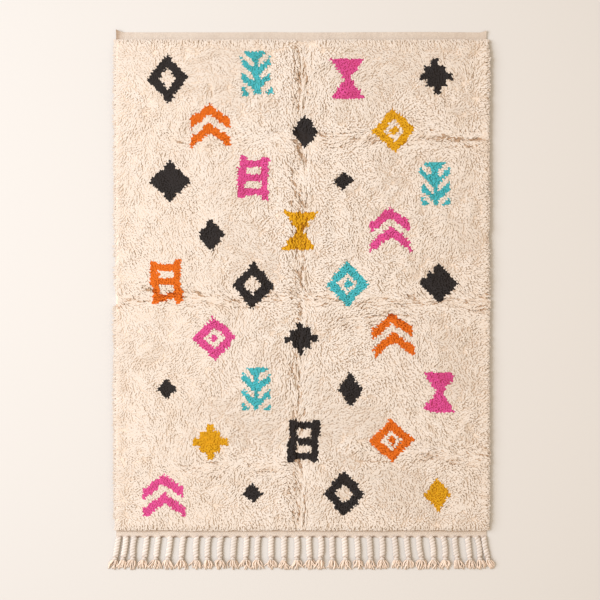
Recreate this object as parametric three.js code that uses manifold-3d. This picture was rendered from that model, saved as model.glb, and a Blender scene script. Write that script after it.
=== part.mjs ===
// Azilal rug: a knotted shag field on a woven ground, with a flat-woven band at each end
// and a fringe of knotted cords at one of them.
// Millimetres. X runs across the rug, Y along it towards the plain end, Z up from the floor.

import * as THREE from 'three';
import { mergeVertices } from 'three/addons/utils/BufferGeometryUtils.js';
import Module from 'manifold-3d';

const wasm = await Module();
wasm.setup();

// The woven ground, off the loom.
const CLOTH_WIDTH = 1462;
const CLOTH_THICK = 3;
const PLAIN_END_Y = 1057;
const FRINGE_END_Y = -936;
const PLAIN_BAND = 34;
const FRINGE_BAND = 28;
const HEADER_DEPTH = 9;
const PARTING = 0.3;
const EDGE_UNEVENNESS = 1.2;
const EDGE_PITCH = 120;
const EDGE_STEPS = 24;

// The pile that is knotted into it, and the locks that hang over its rim.
const PILE_HEIGHT = 21;
const PILE_RIM_HEIGHT = 11;
const PILE_OVERLAP = 3;
const SHOULDER = 48;
const COLUMNS = 36;
const ROWS = 48;
const SIDE_LOCKS = 44;
const SIDE_REACH = 749;
const SIDE_REACH_LOSS = 7;
const SIDE_TURN = 0.5;
const END_LOCKS = 24;
const END_REACH = 13;
const END_TURN = 0.4;
const LOCK_ROOT_INSET = 16;
const LOCK_TIP_SHARE = 0.4;
const LOCK_TIP_HEIGHT = 3.5;
const BAND_CLEARANCE = 1.5;
const ROOT_LIFT = 0.4;

// The fringe: cords of two plies, each with a knot and a tassel of four tails.
const CORDS = 32;
const CORD_INSET = 10;
const CORD_LENGTH = 82;
const CORD_RADIUS = 8;
const CORD_ROOT = 4;
const CORD_NECK = 12;
const NECK_SHARE = 0.65;
const CORD_LEAN = 14;
const CORD_WAVE = 3.5;
const CORNER_TILT = 0.4;
const PLY_DIP = 0.68;
const CORD_STEPS = 16;
const STEP_TURN = THREE.MathUtils.degToRad(60);
const SCALLOP = 3.5;
const KNOT_RADIUS = 10;
const KNOT_LENGTH = 12;
const HEAD_WIDTH = 25;
const HEAD_HEIGHT = 9;
const TAIL_LENGTH = 42;
const TAIL_WIDTH = 4.2;
const TAIL_HEIGHT = 6;
const TAIL_SPREAD = 6.6;
const TAIL_SHARES = [-1, -0.33, 0.33, 1];
const TAIL_FAN = THREE.MathUtils.degToRad(16);
const FRINGE_REACH_Y = -1067;

// How far the two far corners are pulled out past the band, and over what width.
const EARS = [
  { side: -1, rise: 10, width: 34 },
  { side: 1, rise: 8, width: 30 },
];

// Folding left these troughs in the pile. Each runs between two points of the rug.
const CREASES = [
  { fromX: 4, fromY: 1010, toX: 0, toY: -895, depth: 8, halfWidth: 34, waver: 7 },
  { fromX: -728, fromY: 14, toX: 728, toY: 8, depth: 7, halfWidth: 30, waver: 9 },
  { fromX: -10, fromY: 646, toX: 690, toY: 652, depth: 6, halfWidth: 30, waver: 8 },
  { fromX: -520, fromY: 640, toX: -10, toY: 646, depth: 3, halfWidth: 34, waver: 8 },
  { fromX: -520, fromY: -664, toX: -5, toY: -656, depth: 5, halfWidth: 30, waver: 9 },
  { fromX: 250, fromY: -600, toX: 728, toY: -618, depth: 5, halfWidth: 30, waver: 9 },
  { fromX: 170, fromY: -84, toX: 400, toY: -66, depth: 5, halfWidth: 26, waver: 10 },
];

// The pile's own unevenness, in three sizes of lump.
const LUMPS = [
  { pitch: 170, height: 2.4, layer: 1 },
  { pitch: 88, height: 3, layer: 2 },
  { pitch: 41, height: 3.4, layer: 6 },
];

// The spacing of the cords closes up towards the two corners, as shares of the even pitch.
const CORNER_SPACING = { left: [0.58, 0.7], right: [0.76, 0.56] };

// The rows of the table of chance that each kind of unevenness draws on.
const DRAW = {
  edge: 3,
  creaseBend: 4,
  creaseDepth: 5,
  tailTilt: 6,
  cordGap: 7,
  cordWave: 9,
  cordPhase: 10,
  cordLean: 14,
  sideTurn: 20,
  sideReach: 30,
  sideWidth: 40,
  sideTip: 50,
  endTurn: 60,
  endPlace: 70,
  endReach: 80,
  endWidth: 90,
  tailFan: 120,
  tailLength: 130,
};

// A repeatable number from 0 to 1 for each pair of whole numbers.
function chance(i, j) {
  let h = Math.imul(i | 0, 374761393) + Math.imul(j | 0, 668265263);
  h = Math.imul(h ^ (h >>> 13), 1274126177);
  h ^= h >>> 16;
  return (h >>> 0) / 4294967295;
}

// The same, from -1 to 1.
const sway = (i, j) => 2 * chance(i, j) - 1;

// A smooth random surface from -1 to 1, with bumps of the given pitch.
function smoothNoise(x, y, pitch, layer) {
  const u = x / pitch + 100;
  const v = y / pitch + 100;
  const i = Math.floor(u);
  const j = Math.floor(v);
  const ease = (t) => t * t * (3 - 2 * t);
  const corner = (di, dj) => sway(i + di + 1000 * layer, j + dj);
  const near = THREE.MathUtils.lerp(corner(0, 0), corner(1, 0), ease(u - i));
  const far = THREE.MathUtils.lerp(corner(0, 1), corner(1, 1), ease(u - i));
  return THREE.MathUtils.lerp(near, far, ease(v - j));
}

// A closed three.js geometry as a solid that can be joined with others.
function solidOf(geometry) {
  const bare = geometry.clone();
  bare.deleteAttribute('normal');
  bare.deleteAttribute('uv');
  const merged = mergeVertices(bare, 1e-4);
  return new wasm.Manifold(new wasm.Mesh({
    numProp: 3,
    vertProperties: new Float32Array(merged.attributes.position.array),
    triVerts: new Uint32Array(merged.index.array),
  }));
}

// A solid as a three.js geometry.
function geometryOf(solid) {
  const mesh = solid.getMesh();
  const geometry = new THREE.BufferGeometry();
  geometry.setAttribute('position', new THREE.BufferAttribute(mesh.vertProperties, 3));
  geometry.setIndex(new THREE.BufferAttribute(mesh.triVerts, 1));
  geometry.computeVertexNormals();
  return geometry;
}

// A cylinder of few sides whose points are moved: place(step, angle) gives each one's new place.
// The middle of each cap lies on the mean of its ring.
function bentRod(sides, steps, place) {
  const geometry = new THREE.CylinderGeometry(1, 1, 1, sides, steps);
  const points = geometry.attributes.position;
  const moved = new THREE.Vector3();
  const ring = (step) => Array.from({ length: sides }, (_, k) => place(step, (2 * Math.PI * k) / sides));
  const middle = (step) => ring(step)
    .reduce((sum, point) => sum.add(point), new THREE.Vector3())
    .divideScalar(sides);
  for (let n = 0; n < points.count; n += 1) {
    const step = Math.round((0.5 - points.getY(n)) * steps);
    const radius = Math.hypot(points.getX(n), points.getZ(n));
    const turn = Math.atan2(points.getX(n), points.getZ(n));
    const side = Math.round((turn * sides) / (2 * Math.PI) + sides) % sides;
    moved.copy(radius < 0.5 ? middle(step) : place(step, (2 * Math.PI * side) / sides));
    points.setXYZ(n, moved.x, moved.y, moved.z);
  }
  return outward(solidOf(geometry), geometry);
}

// Turns a solid the right way out if its points were moved into a mirror image.
function outward(solid, geometry) {
  if (solid.volume() > 0) {
    return solid;
  }
  const index = geometry.index;
  for (let n = 0; n < index.count; n += 3) {
    const first = index.getX(n);
    index.setX(n, index.getX(n + 1));
    index.setX(n + 1, first);
  }
  return solidOf(geometry);
}

// How far a corner of the plain end is pulled out at this place across the rug.
function earRise(x) {
  return EARS.reduce((rise, ear) => {
    const inset = CLOTH_WIDTH / 2 - ear.side * x;
    return rise + (inset < ear.width ? ear.rise * (1 - inset / ear.width) ** 2 : 0);
  }, 0);
}

// The woven ground as a thin slab, its plain end a little uneven and its corners pulled out.
function makeCloth() {
  const half = CLOTH_WIDTH / 2;
  const outline = new THREE.Shape();
  outline.moveTo(-half, FRINGE_END_Y + HEADER_DEPTH);
  outline.lineTo(half, FRINGE_END_Y + HEADER_DEPTH);
  const edge = Array.from({ length: EDGE_STEPS + 1 }, (_, k) => half - (CLOTH_WIDTH * k) / EDGE_STEPS);
  for (const ear of EARS) {
    edge.push(ear.side * (half - ear.width / 3), ear.side * (half - ear.width * 0.66));
  }
  edge.sort((a, b) => b - a);
  for (const x of edge) {
    outline.lineTo(x, PLAIN_END_Y + earRise(x) + EDGE_UNEVENNESS * smoothNoise(x, 0, EDGE_PITCH, DRAW.edge));
  }
  outline.closePath();
  return solidOf(new THREE.ExtrudeGeometry(outline, { depth: CLOTH_THICK, bevelEnabled: false }));
}

// How deep a crease is at a point of the pile: a soft trough with a low ridge along each side.
function creaseDip(crease, x, y) {
  const along = new THREE.Vector2(crease.toX - crease.fromX, crease.toY - crease.fromY);
  const length = along.length();
  along.divideScalar(length);
  const gone = (x - crease.fromX) * along.x + (y - crease.fromY) * along.y;
  const bend = crease.waver * smoothNoise(gone, crease.fromY, 160, DRAW.creaseBend);
  const off = (x - crease.fromX) * -along.y + (y - crease.fromY) * along.x - bend;
  const past = Math.max(0, -gone, gone - length);
  const spread = Math.hypot(off, past) / crease.halfWidth;
  const depth = crease.depth * (0.8 + 0.35 * smoothNoise(gone, crease.fromX, 210, DRAW.creaseDepth));
  return depth * (Math.exp(-spread * spread) - 0.3 * Math.exp(-((spread - 2) ** 2)));
}

// The height of the pile above the floor, which falls off over its rounded shoulder.
function pileTop(x, y, inset) {
  const lumps = LUMPS
    .map((lump) => lump.height * smoothNoise(x, y, lump.pitch, lump.layer))
    .reduce((sum, rise) => sum + rise, 0);
  const dips = CREASES.reduce((sum, crease) => sum + creaseDip(crease, x, y), 0);
  const shoulder = Math.sin(Math.min(1, inset / SHOULDER) * (Math.PI / 2));
  const full = PILE_HEIGHT + lumps - dips;
  return PILE_RIM_HEIGHT + (full - PILE_RIM_HEIGHT) * shoulder;
}

// The field of pile as a slab with a lumpy top, down to the floor beneath it.
const FIELD = {
  left: -CLOTH_WIDTH / 2 - PILE_OVERLAP,
  right: CLOTH_WIDTH / 2 + PILE_OVERLAP,
  near: FRINGE_END_Y + FRINGE_BAND,
  far: PLAIN_END_Y - PLAIN_BAND,
};

function makePile() {
  const width = FIELD.right - FIELD.left;
  const length = FIELD.far - FIELD.near;
  const geometry = new THREE.BoxGeometry(width, length, 2, COLUMNS, ROWS, 1);
  geometry.translate(0, (FIELD.far + FIELD.near) / 2, 1);
  const points = geometry.attributes.position;
  for (let n = 0; n < points.count; n += 1) {
    const x = points.getX(n);
    const y = points.getY(n);
    const inset = Math.min(x - FIELD.left, FIELD.right - x, y - FIELD.near, FIELD.far - y);
    if (points.getZ(n) > 1) {
      points.setZ(n, pileTop(x, y, inset));
    }
  }
  return solidOf(geometry);
}

// One lock of pile or tail of yarn: three sides, tapering from its root down to a tip at its base height.
function makeLock({ rootX, rootY, heading, length, width, tipShare, base, rootHeight, tipHeight }) {
  const ahead = new THREE.Vector2(Math.cos(heading), Math.sin(heading));
  return bentRod(3, 1, (step, angle) => {
    const ridge = Math.abs(angle) < 1e-6;
    const side = ridge ? 0 : Math.sign(Math.PI - angle);
    const half = side * (width / 2) * (step === 0 ? 1 : tipShare);
    const gone = length * step;
    const foot = step === 0 ? ROOT_LIFT : 0;
    const top = step === 0 ? rootHeight : tipHeight;
    return new THREE.Vector3(
      rootX + ahead.x * gone - ahead.y * half,
      rootY + ahead.y * gone + ahead.x * half,
      base + (ridge ? top : foot),
    );
  });
}

// The locks along both sides, which reach down to the floor and rest on it.
function makeSideLocks() {
  const locks = [];
  const pitch = (FIELD.far - FIELD.near) / SIDE_LOCKS;
  for (const side of [-1, 1]) {
    for (let k = 0; k < SIDE_LOCKS; k += 1) {
      const turn = SIDE_TURN * sway(k, DRAW.sideTurn + side);
      const reach = SIDE_REACH - SIDE_REACH_LOSS * chance(k, DRAW.sideReach + side);
      const root = CLOTH_WIDTH / 2 - LOCK_ROOT_INSET;
      const slant = LOCK_ROOT_INSET * Math.tan(turn);
      locks.push(makeLock({
        rootX: side * root,
        rootY: FIELD.near + pitch * (k + 0.5) - side * slant,
        heading: side > 0 ? turn : Math.PI + turn,
        length: (reach - root) / Math.cos(turn) - pitch * 0.1 * Math.abs(Math.sin(turn)),
        width: pitch * (0.84 + 0.1 * sway(k, DRAW.sideWidth + side)),
        tipShare: LOCK_TIP_SHARE,
        base: 0,
        rootHeight: PILE_RIM_HEIGHT,
        tipHeight: LOCK_TIP_HEIGHT + 2 * chance(k, DRAW.sideTip + side),
      }));
    }
  }
  return locks;
}

// The locks that stick out over each flat-woven band, clear of it.
function makeEndLocks() {
  const locks = [];
  const pitch = CLOTH_WIDTH / (END_LOCKS + 0.7);
  for (const side of [-1, 1]) {
    const rim = side > 0 ? FIELD.far : FIELD.near;
    for (let k = 0; k < END_LOCKS; k += 1) {
      const shift = 0.14 * sway(k, DRAW.endPlace + side);
      locks.push(makeLock({
        rootX: pitch * (k + 0.5 - END_LOCKS / 2 + shift),
        rootY: rim - side * LOCK_ROOT_INSET,
        heading: side * (Math.PI / 2) + END_TURN * sway(k, DRAW.endTurn + side),
        length: LOCK_ROOT_INSET + END_REACH * (0.6 + 0.4 * chance(k, DRAW.endReach + side)),
        width: pitch * (0.78 + 0.12 * sway(k, DRAW.endWidth + side)),
        tipShare: LOCK_TIP_SHARE,
        base: CLOTH_THICK + BAND_CLEARANCE,
        rootHeight: PILE_RIM_HEIGHT - CLOTH_THICK - BAND_CLEARANCE,
        tipHeight: LOCK_TIP_HEIGHT,
      }));
    }
  }
  return locks;
}

// Where each cord leaves the cloth: even across the middle, closed up at the corners.
function cordPlaces() {
  const gaps = Array.from({ length: CORDS - 1 }, (_, k) => 1 + 0.07 * sway(k, DRAW.cordGap));
  CORNER_SPACING.left.forEach((share, k) => {
    gaps[k] = share;
  });
  CORNER_SPACING.right.forEach((share, k) => {
    gaps[CORDS - 1 - CORNER_SPACING.right.length + k] = share;
  });
  const sum = gaps.reduce((total, gap) => total + gap, 0);
  const span = CLOTH_WIDTH - 2 * CORD_INSET;
  const places = [-span / 2];
  for (const gap of gaps) {
    places.push(places[places.length - 1] + (gap / sum) * span);
  }
  return places;
}

// The narrow strip that all the cords grow from, its edge scalloped between them.
function makeHeader(places) {
  const half = CLOTH_WIDTH / 2;
  const top = FRINGE_END_Y + HEADER_DEPTH - PARTING;
  const neck = CORD_RADIUS * NECK_SHARE;
  const outline = new THREE.Shape();
  outline.moveTo(-half, top);
  outline.lineTo(-half, FRINGE_END_Y);
  for (let k = 1; k < CORDS; k += 1) {
    const middle = (places[k - 1] + places[k]) / 2;
    outline.lineTo(places[k - 1] + neck, FRINGE_END_Y);
    outline.lineTo(middle, FRINGE_END_Y + SCALLOP);
    outline.lineTo(places[k] - neck, FRINGE_END_Y);
  }
  outline.lineTo(half, FRINGE_END_Y);
  outline.lineTo(half, top);
  outline.closePath();
  return solidOf(new THREE.ExtrudeGeometry(outline, { depth: CLOTH_THICK, bevelEnabled: false }));
}

// The half width and half height of a cord, its knot or the tassel's head, so far down from the cloth.
function cordSection(down) {
  if (down > CORD_LENGTH + KNOT_LENGTH) {
    return { across: HEAD_WIDTH / 2, up: HEAD_HEIGHT / 2 };
  }
  if (down > CORD_LENGTH) {
    return { across: KNOT_RADIUS, up: KNOT_RADIUS * 0.9 };
  }
  const filled = THREE.MathUtils.clamp(down / CORD_NECK, 0, 1);
  const radius = CORD_RADIUS * THREE.MathUtils.lerp(NECK_SHARE, 1, filled);
  return { across: radius, up: radius };
}

// The rings of a cord: even steps down its twist, then the knot and the tassel's head.
const twistRing = (k) => THREE.MathUtils.lerp(-CORD_ROOT, CORD_LENGTH, k / CORD_STEPS);
const CORD_RINGS = [
  ...Array.from({ length: CORD_STEPS + 1 }, (_, k) => twistRing(k)),
  CORD_LENGTH + KNOT_LENGTH * 0.25,
  CORD_LENGTH + KNOT_LENGTH * 0.75,
  CORD_LENGTH + KNOT_LENGTH * 1.1,
];

// The middle of a cord at a distance down: it drifts out to its corner and wavers a little.
function cordMiddle(cord, down) {
  const t = down / (CORD_LENGTH + KNOT_LENGTH);
  return cord.x + cord.lean * t + cord.wave * Math.sin(1.3 * Math.PI * Math.max(0, t));
}

// One cord of two plies. Each ring is lifted or lowered so that it just rests on the floor.
function makeCord(cord) {
  return bentRod(4, CORD_RINGS.length - 1, (step, angle) => {
    const down = CORD_RINGS[step];
    const section = cordSection(down);
    const twisted = down <= CORD_LENGTH;
    const twist = twisted ? step * STEP_TURN + cord.phase : Math.PI / 4;
    const dip = (a) => (twisted && Math.round(a / (Math.PI / 2)) % 2 ? PLY_DIP : 1);
    const height = (a) => section.up * dip(a) * Math.sin(a + twist);
    const lowest = Math.min(...[0, 1, 2, 3].map((k) => height((k * Math.PI) / 2)));
    return new THREE.Vector3(
      cordMiddle(cord, down) + section.across * dip(angle) * Math.cos(angle + twist),
      FRINGE_END_Y - down,
      height(angle) - lowest,
    );
  });
}

// The tails of a cord's tassel, fanned out flat on the floor.
function makeTails(cord, index) {
  const start = CORD_LENGTH + KNOT_LENGTH * 0.9;
  return TAIL_SHARES.map((share, k) => {
    const fan = TAIL_FAN * cord.room * share + cord.tilt + 0.05 * sway(index, DRAW.tailFan + k);
    const length = TAIL_LENGTH * (0.82 + 0.18 * chance(index, DRAW.tailLength + k));
    const reach = FRINGE_END_Y - start - FRINGE_REACH_Y;
    return makeLock({
      rootX: cordMiddle(cord, start) + share * TAIL_SPREAD,
      rootY: FRINGE_END_Y - start,
      heading: -Math.PI / 2 + fan,
      length: Math.min(length, reach / Math.cos(fan)),
      width: TAIL_WIDTH,
      tipShare: 0.9,
      base: 0,
      rootHeight: TAIL_HEIGHT,
      tipHeight: TAIL_HEIGHT * 0.7,
    });
  });
}

function makeFringe() {
  const places = cordPlaces();
  const evenPitch = (CLOTH_WIDTH - 2 * CORD_INSET) / (CORDS - 1);
  const pieces = [makeHeader(places)];
  places.forEach((x, k) => {
    const share = (2 * k) / (CORDS - 1) - 1;
    const neighbours = [places[k - 1], places[k + 1]].filter((place) => place !== undefined);
    const gap = Math.min(...neighbours.map((place) => Math.abs(place - x)));
    const cord = {
      x,
      lean: CORD_LEAN * share + 3 * sway(k, DRAW.cordLean),
      wave: CORD_WAVE * sway(k, DRAW.cordWave),
      phase: Math.PI * chance(k, DRAW.cordPhase),
      room: Math.min(1, gap / evenPitch),
      tilt: CORNER_TILT * share ** 5 + 0.07 * sway(k, DRAW.tailTilt),
    };
    pieces.push(makeCord(cord), ...makeTails(cord, k));
  });
  return wasm.Manifold.union(pieces);
}

function makeBody() {
  return wasm.Manifold.union([makeCloth(), makePile(), ...makeSideLocks(), ...makeEndLocks()]);
}

function addPiece(group, name, solid, color) {
  const material = new THREE.MeshStandardMaterial({ color, roughness: 0.95, metalness: 0 });
  const mesh = new THREE.Mesh(geometryOf(solid), material);
  mesh.name = name;
  group.add(mesh);
}

const rug = new THREE.Group();
addPiece(rug, 'rug_body', makeBody(), '#efe0cb');
addPiece(rug, 'fringe', makeFringe(), '#ddc8b0');

export default rug;
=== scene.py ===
# %% [markdown]
# # A knotted shag rug with a flat weave at its ends and a corded fringe
# The rug lies flat and is seen from straight above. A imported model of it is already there: it says how
# big everything is and where it lies. This lesson dresses that model: it weaves the ground, knots the
# pile into it, twists the fringe, and sets a soft light. Each step first says what the real thing is.

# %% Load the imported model
import math

import bmesh
import bpy
import numpy as np
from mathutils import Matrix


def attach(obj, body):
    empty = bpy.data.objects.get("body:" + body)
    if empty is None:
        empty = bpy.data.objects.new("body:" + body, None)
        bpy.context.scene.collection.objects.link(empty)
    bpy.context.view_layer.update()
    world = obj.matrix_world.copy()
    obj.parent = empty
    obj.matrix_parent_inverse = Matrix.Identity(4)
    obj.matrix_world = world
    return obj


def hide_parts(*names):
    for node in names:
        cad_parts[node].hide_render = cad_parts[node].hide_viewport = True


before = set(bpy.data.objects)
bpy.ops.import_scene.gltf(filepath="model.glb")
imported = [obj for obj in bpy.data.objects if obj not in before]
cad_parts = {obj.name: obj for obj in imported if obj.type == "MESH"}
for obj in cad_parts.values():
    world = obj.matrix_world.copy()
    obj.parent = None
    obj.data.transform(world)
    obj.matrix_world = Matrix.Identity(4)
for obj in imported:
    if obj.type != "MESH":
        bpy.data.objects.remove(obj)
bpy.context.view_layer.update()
print("packed nodes:", sorted(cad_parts))

# %% [markdown]
# ## The rug's own sizes
# The solids were worked out from a few named sizes in millimetres. They are repeated here, because the
# dressed pieces have to lie where the solids do. Meshes are made in metres, so each one is scaled by MM.

# %% Sizes of the woven ground
MM = 0.001
CLOTH_WIDTH = 1462.0
CLOTH_THICK = 3.0
PLAIN_END_Y = 1057.0
FRINGE_END_Y = -936.0
PLAIN_BAND = 34.0
FRINGE_BAND = 28.0
HEADER_DEPTH = 9.0
CUT = 0.3
CUT_CLOSED = 0.9
EDGE_UNEVENNESS = 1.2
EDGE_PITCH = 120.0
EDGE_LAYER = 3
EARS = [
    {"side": -1, "rise": 10.0, "width": 34.0, "lift": 9.0},
    {"side": 1, "rise": 8.0, "width": 30.0, "lift": 4.0},
]

# %% [markdown]
# The real pile is full up to its sides, and lies down over the bands at its two ends. So the dressed
# pile has a higher rim than the solid slab at the sides, and drops to about the slab's at the ends. It
# keeps only a share of the slab's lumps and dips, because its own yarn adds more.

# %% Sizes of the pile
PILE_HEIGHT = 21.0
PILE_RIM_HEIGHT = 19.0
END_RIM_DROP = 9.0
SHOULDER = 32.0
LUMPS_KEPT = 0.8
DIP_KEPT = 0.8
PILE_OVERLAP = 3.0
LEFT = -CLOTH_WIDTH / 2 - PILE_OVERLAP
RIGHT = CLOTH_WIDTH / 2 + PILE_OVERLAP
NEAR = FRINGE_END_Y + FRINGE_BAND
FAR = PLAIN_END_Y - PLAIN_BAND
LUMPS = [
    {"pitch": 170.0, "size": 2.4, "layer": 1},
    {"pitch": 88.0, "size": 3.0, "layer": 2},
    {"pitch": 41.0, "size": 3.4, "layer": 6},
]
CREASES = [
    {"start": (4, 1010), "end": (0, -895), "depth": 8, "half_width": 34, "waver": 7},
    {"start": (-728, 14), "end": (728, 8), "depth": 7, "half_width": 30, "waver": 9},
    {"start": (-10, 646), "end": (690, 652), "depth": 6, "half_width": 30, "waver": 8},
    {"start": (-520, 640), "end": (-10, 646), "depth": 3, "half_width": 34, "waver": 8},
    {"start": (-520, -664), "end": (-5, -656), "depth": 5, "half_width": 30, "waver": 9},
    {"start": (250, -600), "end": (728, -618), "depth": 5, "half_width": 30, "waver": 9},
    {"start": (170, -84), "end": (400, -66), "depth": 5, "half_width": 26, "waver": 10},
]
print("pile field:", RIGHT - LEFT, "by", FAR - NEAR, "mm")

# %% [markdown]
# ## Chance that comes out the same each time
# Nothing handmade is even, but the script has to give the same rug on each run. So every unevenness
# comes from one small hash of two whole numbers, the same one that the solids use. The bare numbers in
# its calls mean nothing by themselves: each use has its own, so that no two uses draw alike.


# %% Repeatable chance and smooth noise
def chance(i, j):
    """A repeatable number from 0 to 1 for each pair of whole numbers."""
    mixed = (np.asarray(i, np.int64) * 374761393 + np.asarray(j, np.int64) * 668265263) & 0xFFFFFFFF
    mixed = ((mixed ^ (mixed >> 13)) * 1274126177) & 0xFFFFFFFF
    mixed ^= mixed >> 16
    return mixed / 4294967295.0


def sway(i, j):
    """The same, from -1 to 1."""
    return 2 * chance(i, j) - 1


def ease(t):
    return t * t * (3 - 2 * t)


def smooth_noise(x, y, pitch, layer):
    """A smooth random surface from -1 to 1, with bumps of the given pitch in millimetres."""
    u = np.asarray(x) / pitch + 100
    v = np.asarray(y) / pitch + 100
    i = np.floor(u).astype(np.int64)
    j = np.floor(v).astype(np.int64)
    right, up = ease(u - i), ease(v - j)
    row = i + 1000 * layer
    near = sway(row, j) * (1 - right) + sway(row + 1, j) * right
    far = sway(row, j + 1) * (1 - right) + sway(row + 1, j + 1) * right
    return near * (1 - up) + far * up


def layered_noise(x, y, layers, shift=0):
    """The sum of a few smooth noises, each with its own pitch, size and layer."""
    return sum(one["size"] * smooth_noise(x, y, one["pitch"], one["layer"] + shift) for one in layers)


print("noise at the middle:", float(smooth_noise(0, 0, 41, 6)))

# %% [markdown]
# ## The camera
# The photo looks straight down at the rug from a good distance, so its sides stay parallel. One pixel of
# it is 3.94 mm of rug, and 600 pixels make a field of 2364 mm. A long lens at 5.25 m gives that field.
# The middle of the rug lies a pixel to the right of the middle of the picture, so the camera moves over.

# %% Camera
PIXEL = 3.94 * MM
PICTURE_PIXELS = 600
ASIDE_X = -1.3 * PIXEL
ASIDE_Y = -0.3 * PIXEL
SEEN_HEIGHT = 0.018
LENS = 80.0
SENSOR = 36.0
camera_data = bpy.data.cameras.new("camera")
camera_data.lens = LENS
camera_data.sensor_width = SENSOR
camera_data.clip_end = 60.0
camera = bpy.data.objects.new("camera", camera_data)
camera.location = (ASIDE_X, ASIDE_Y, PICTURE_PIXELS * PIXEL * LENS / SENSOR + SEEN_HEIGHT)
bpy.context.collection.objects.link(camera)
bpy.context.scene.camera = camera
bpy.context.scene.view_settings.view_transform = "Standard"
print("camera height:", round(camera.location.z, 3), "m")

# %% [markdown]
# ## Sums on sockets
# Materials here are sums: a weave is a product of two waves, a heathered yarn is a mean of noises. A
# small class wraps an output socket, so that such sums can be written as Python writes them. Every other
# node comes from its one method, which takes the node's type, its settings and what its sockets get.


# %% A socket that takes part in sums
class Strand:
    """An output socket of a material's nodes."""

    def __init__(self, tree, socket=None):
        self.tree = tree
        self.socket = socket

    def node(self, kind, settings=None, inputs=None, output=0):
        """Adds a node, sets it up, fills its sockets with values or links, and gives one output."""
        made = self.tree.nodes.new(kind)
        for name, value in (settings or {}).items():
            setattr(made, name, value)
        for name, value in (inputs or {}).items():
            if isinstance(value, Strand):
                self.tree.links.new(value.socket, made.inputs[name])
            else:
                made.inputs[name].default_value = value
        return Strand(self.tree, made.outputs[output])

    def sum(self, operation, *values):
        return self.node("ShaderNodeMath", {"operation": operation}, dict(enumerate(values)))

    def __add__(self, other):
        return self.sum("ADD", self, other)

    def __radd__(self, other):
        return self.sum("ADD", other, self)

    def __sub__(self, other):
        return self.sum("SUBTRACT", self, other)

    def __rsub__(self, other):
        return self.sum("SUBTRACT", other, self)

    def __mul__(self, other):
        return self.sum("MULTIPLY", self, other)

    def __rmul__(self, other):
        return self.sum("MULTIPLY", other, self)

    def __truediv__(self, other):
        return self.sum("DIVIDE", self, other)

    def sine(self):
        return self.sum("SINE", self)

    def mix(self, low, high):
        """A colour between two, by this value."""
        return self.node(
            "ShaderNodeMix",
            {"data_type": "RGBA", "clamp_factor": True},
            {0: self, 6: low, 7: high},
            output=2,
        )

    def tinted(self, tint):
        """This colour, times another."""
        settings = {"data_type": "RGBA", "blend_type": "MULTIPLY"}
        return self.node("ShaderNodeMix", settings, {0: 1.0, 6: self, 7: tint}, output=2)


def new_finish(name):
    """An empty material, the start of its sums, and its shader."""
    finish = bpy.data.materials.new(name)
    finish.use_nodes = True
    shader = finish.node_tree.nodes["Principled BSDF"]
    return finish, Strand(finish.node_tree), shader


def feed(shader, name, strand):
    """Links the end of a sum to one of the shader's sockets."""
    strand.tree.links.new(strand.socket, shader.inputs[name])


def set_sockets(shader, values):
    """Sets the sockets that are the same all over the surface."""
    for name, value in values.items():
        shader.inputs[name].default_value = value


print("socket sums ready")

# %% [markdown]
# ## Floor and light
# The rug lies on a plain pale floor in soft daylight from the upper left. A big square lamp low on that
# side, a little cool, gives the soft shadow along the rug's right edge, and a warm pale sky fills it in.
# The photo's floor gets darker towards its corners, so its paint does too: a painted pool of light,
# mixed by the distance from one bright place.

# %% Floor
floor_mesh = bpy.data.meshes.new("floor")
shaping = bmesh.new()
bmesh.ops.create_grid(shaping, x_segments=2, y_segments=2, size=12.0)
shaping.to_mesh(floor_mesh)
shaping.free()
floor = bpy.data.objects.new("floor", floor_mesh)
bpy.context.collection.objects.link(floor)

# Painted light: the floor's paint is brightest at one place and darker with the square of the distance from
# it.
PAINTED_LIGHT_PLACE = (0.4, -0.15, 0.0)
BRIGHT_PAINT = (0.640, 0.606, 0.577, 1)
DIM_PAINT = (0.548, 0.520, 0.492, 1)
PAINTED_DIMMING = 0.11
floor_paint, start, shader = new_finish("floor_paint")
place = start.node("ShaderNodeTexCoord", output="Object")
ends = {0: place, 1: PAINTED_LIGHT_PLACE}
far = start.node("ShaderNodeVectorMath", {"operation": "DISTANCE"}, ends, output="Value")
feed(shader, "Base Color", (far * far * PAINTED_DIMMING).mix(BRIGHT_PAINT, DIM_PAINT))
set_sockets(shader, {"Roughness": 0.9, "Specular IOR Level": 0.2})
floor_mesh.materials.append(floor_paint)

# %% Light
KEY_PLACE = (-7.6, 1.8, 5.2)
KEY_SIZE = 6.0
KEY_POWER = 1268.0
KEY_COLOUR = (0.793, 0.880, 1.0)
SKY_COLOUR = (1.0, 0.863, 0.69, 1)
SKY_STRENGTH = 0.86
key_data = bpy.data.lights.new("key", "AREA")
key_data.shape = "SQUARE"
key_data.size = KEY_SIZE
key_data.energy = KEY_POWER
key_data.color = KEY_COLOUR
key = bpy.data.objects.new("key", key_data)
key.location = KEY_PLACE
key.rotation_mode = "QUATERNION"
key.rotation_quaternion = key.location.to_track_quat("Z", "Y")
bpy.context.collection.objects.link(key)

sky = bpy.data.worlds.new("sky")
sky.use_nodes = True
set_sockets(sky.node_tree.nodes["Background"], {"Color": SKY_COLOUR, "Strength": SKY_STRENGTH})
bpy.context.scene.world = sky
print("key lamp at", KEY_PLACE)

# %% [markdown]
# ## The chart of knots
# The pile is tied knot by knot on a lattice of about 9 mm, and each knot has one colour. A motif is
# therefore a small chart, and its edges step from knot to knot. The motifs are common ones of this
# craft: lozenges, hourglasses, chevrons, ladders, stars and twigs, each a short formula on the
# distances from its middle, in millimetres. They stand in half-drop rows, a little uneven.

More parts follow.
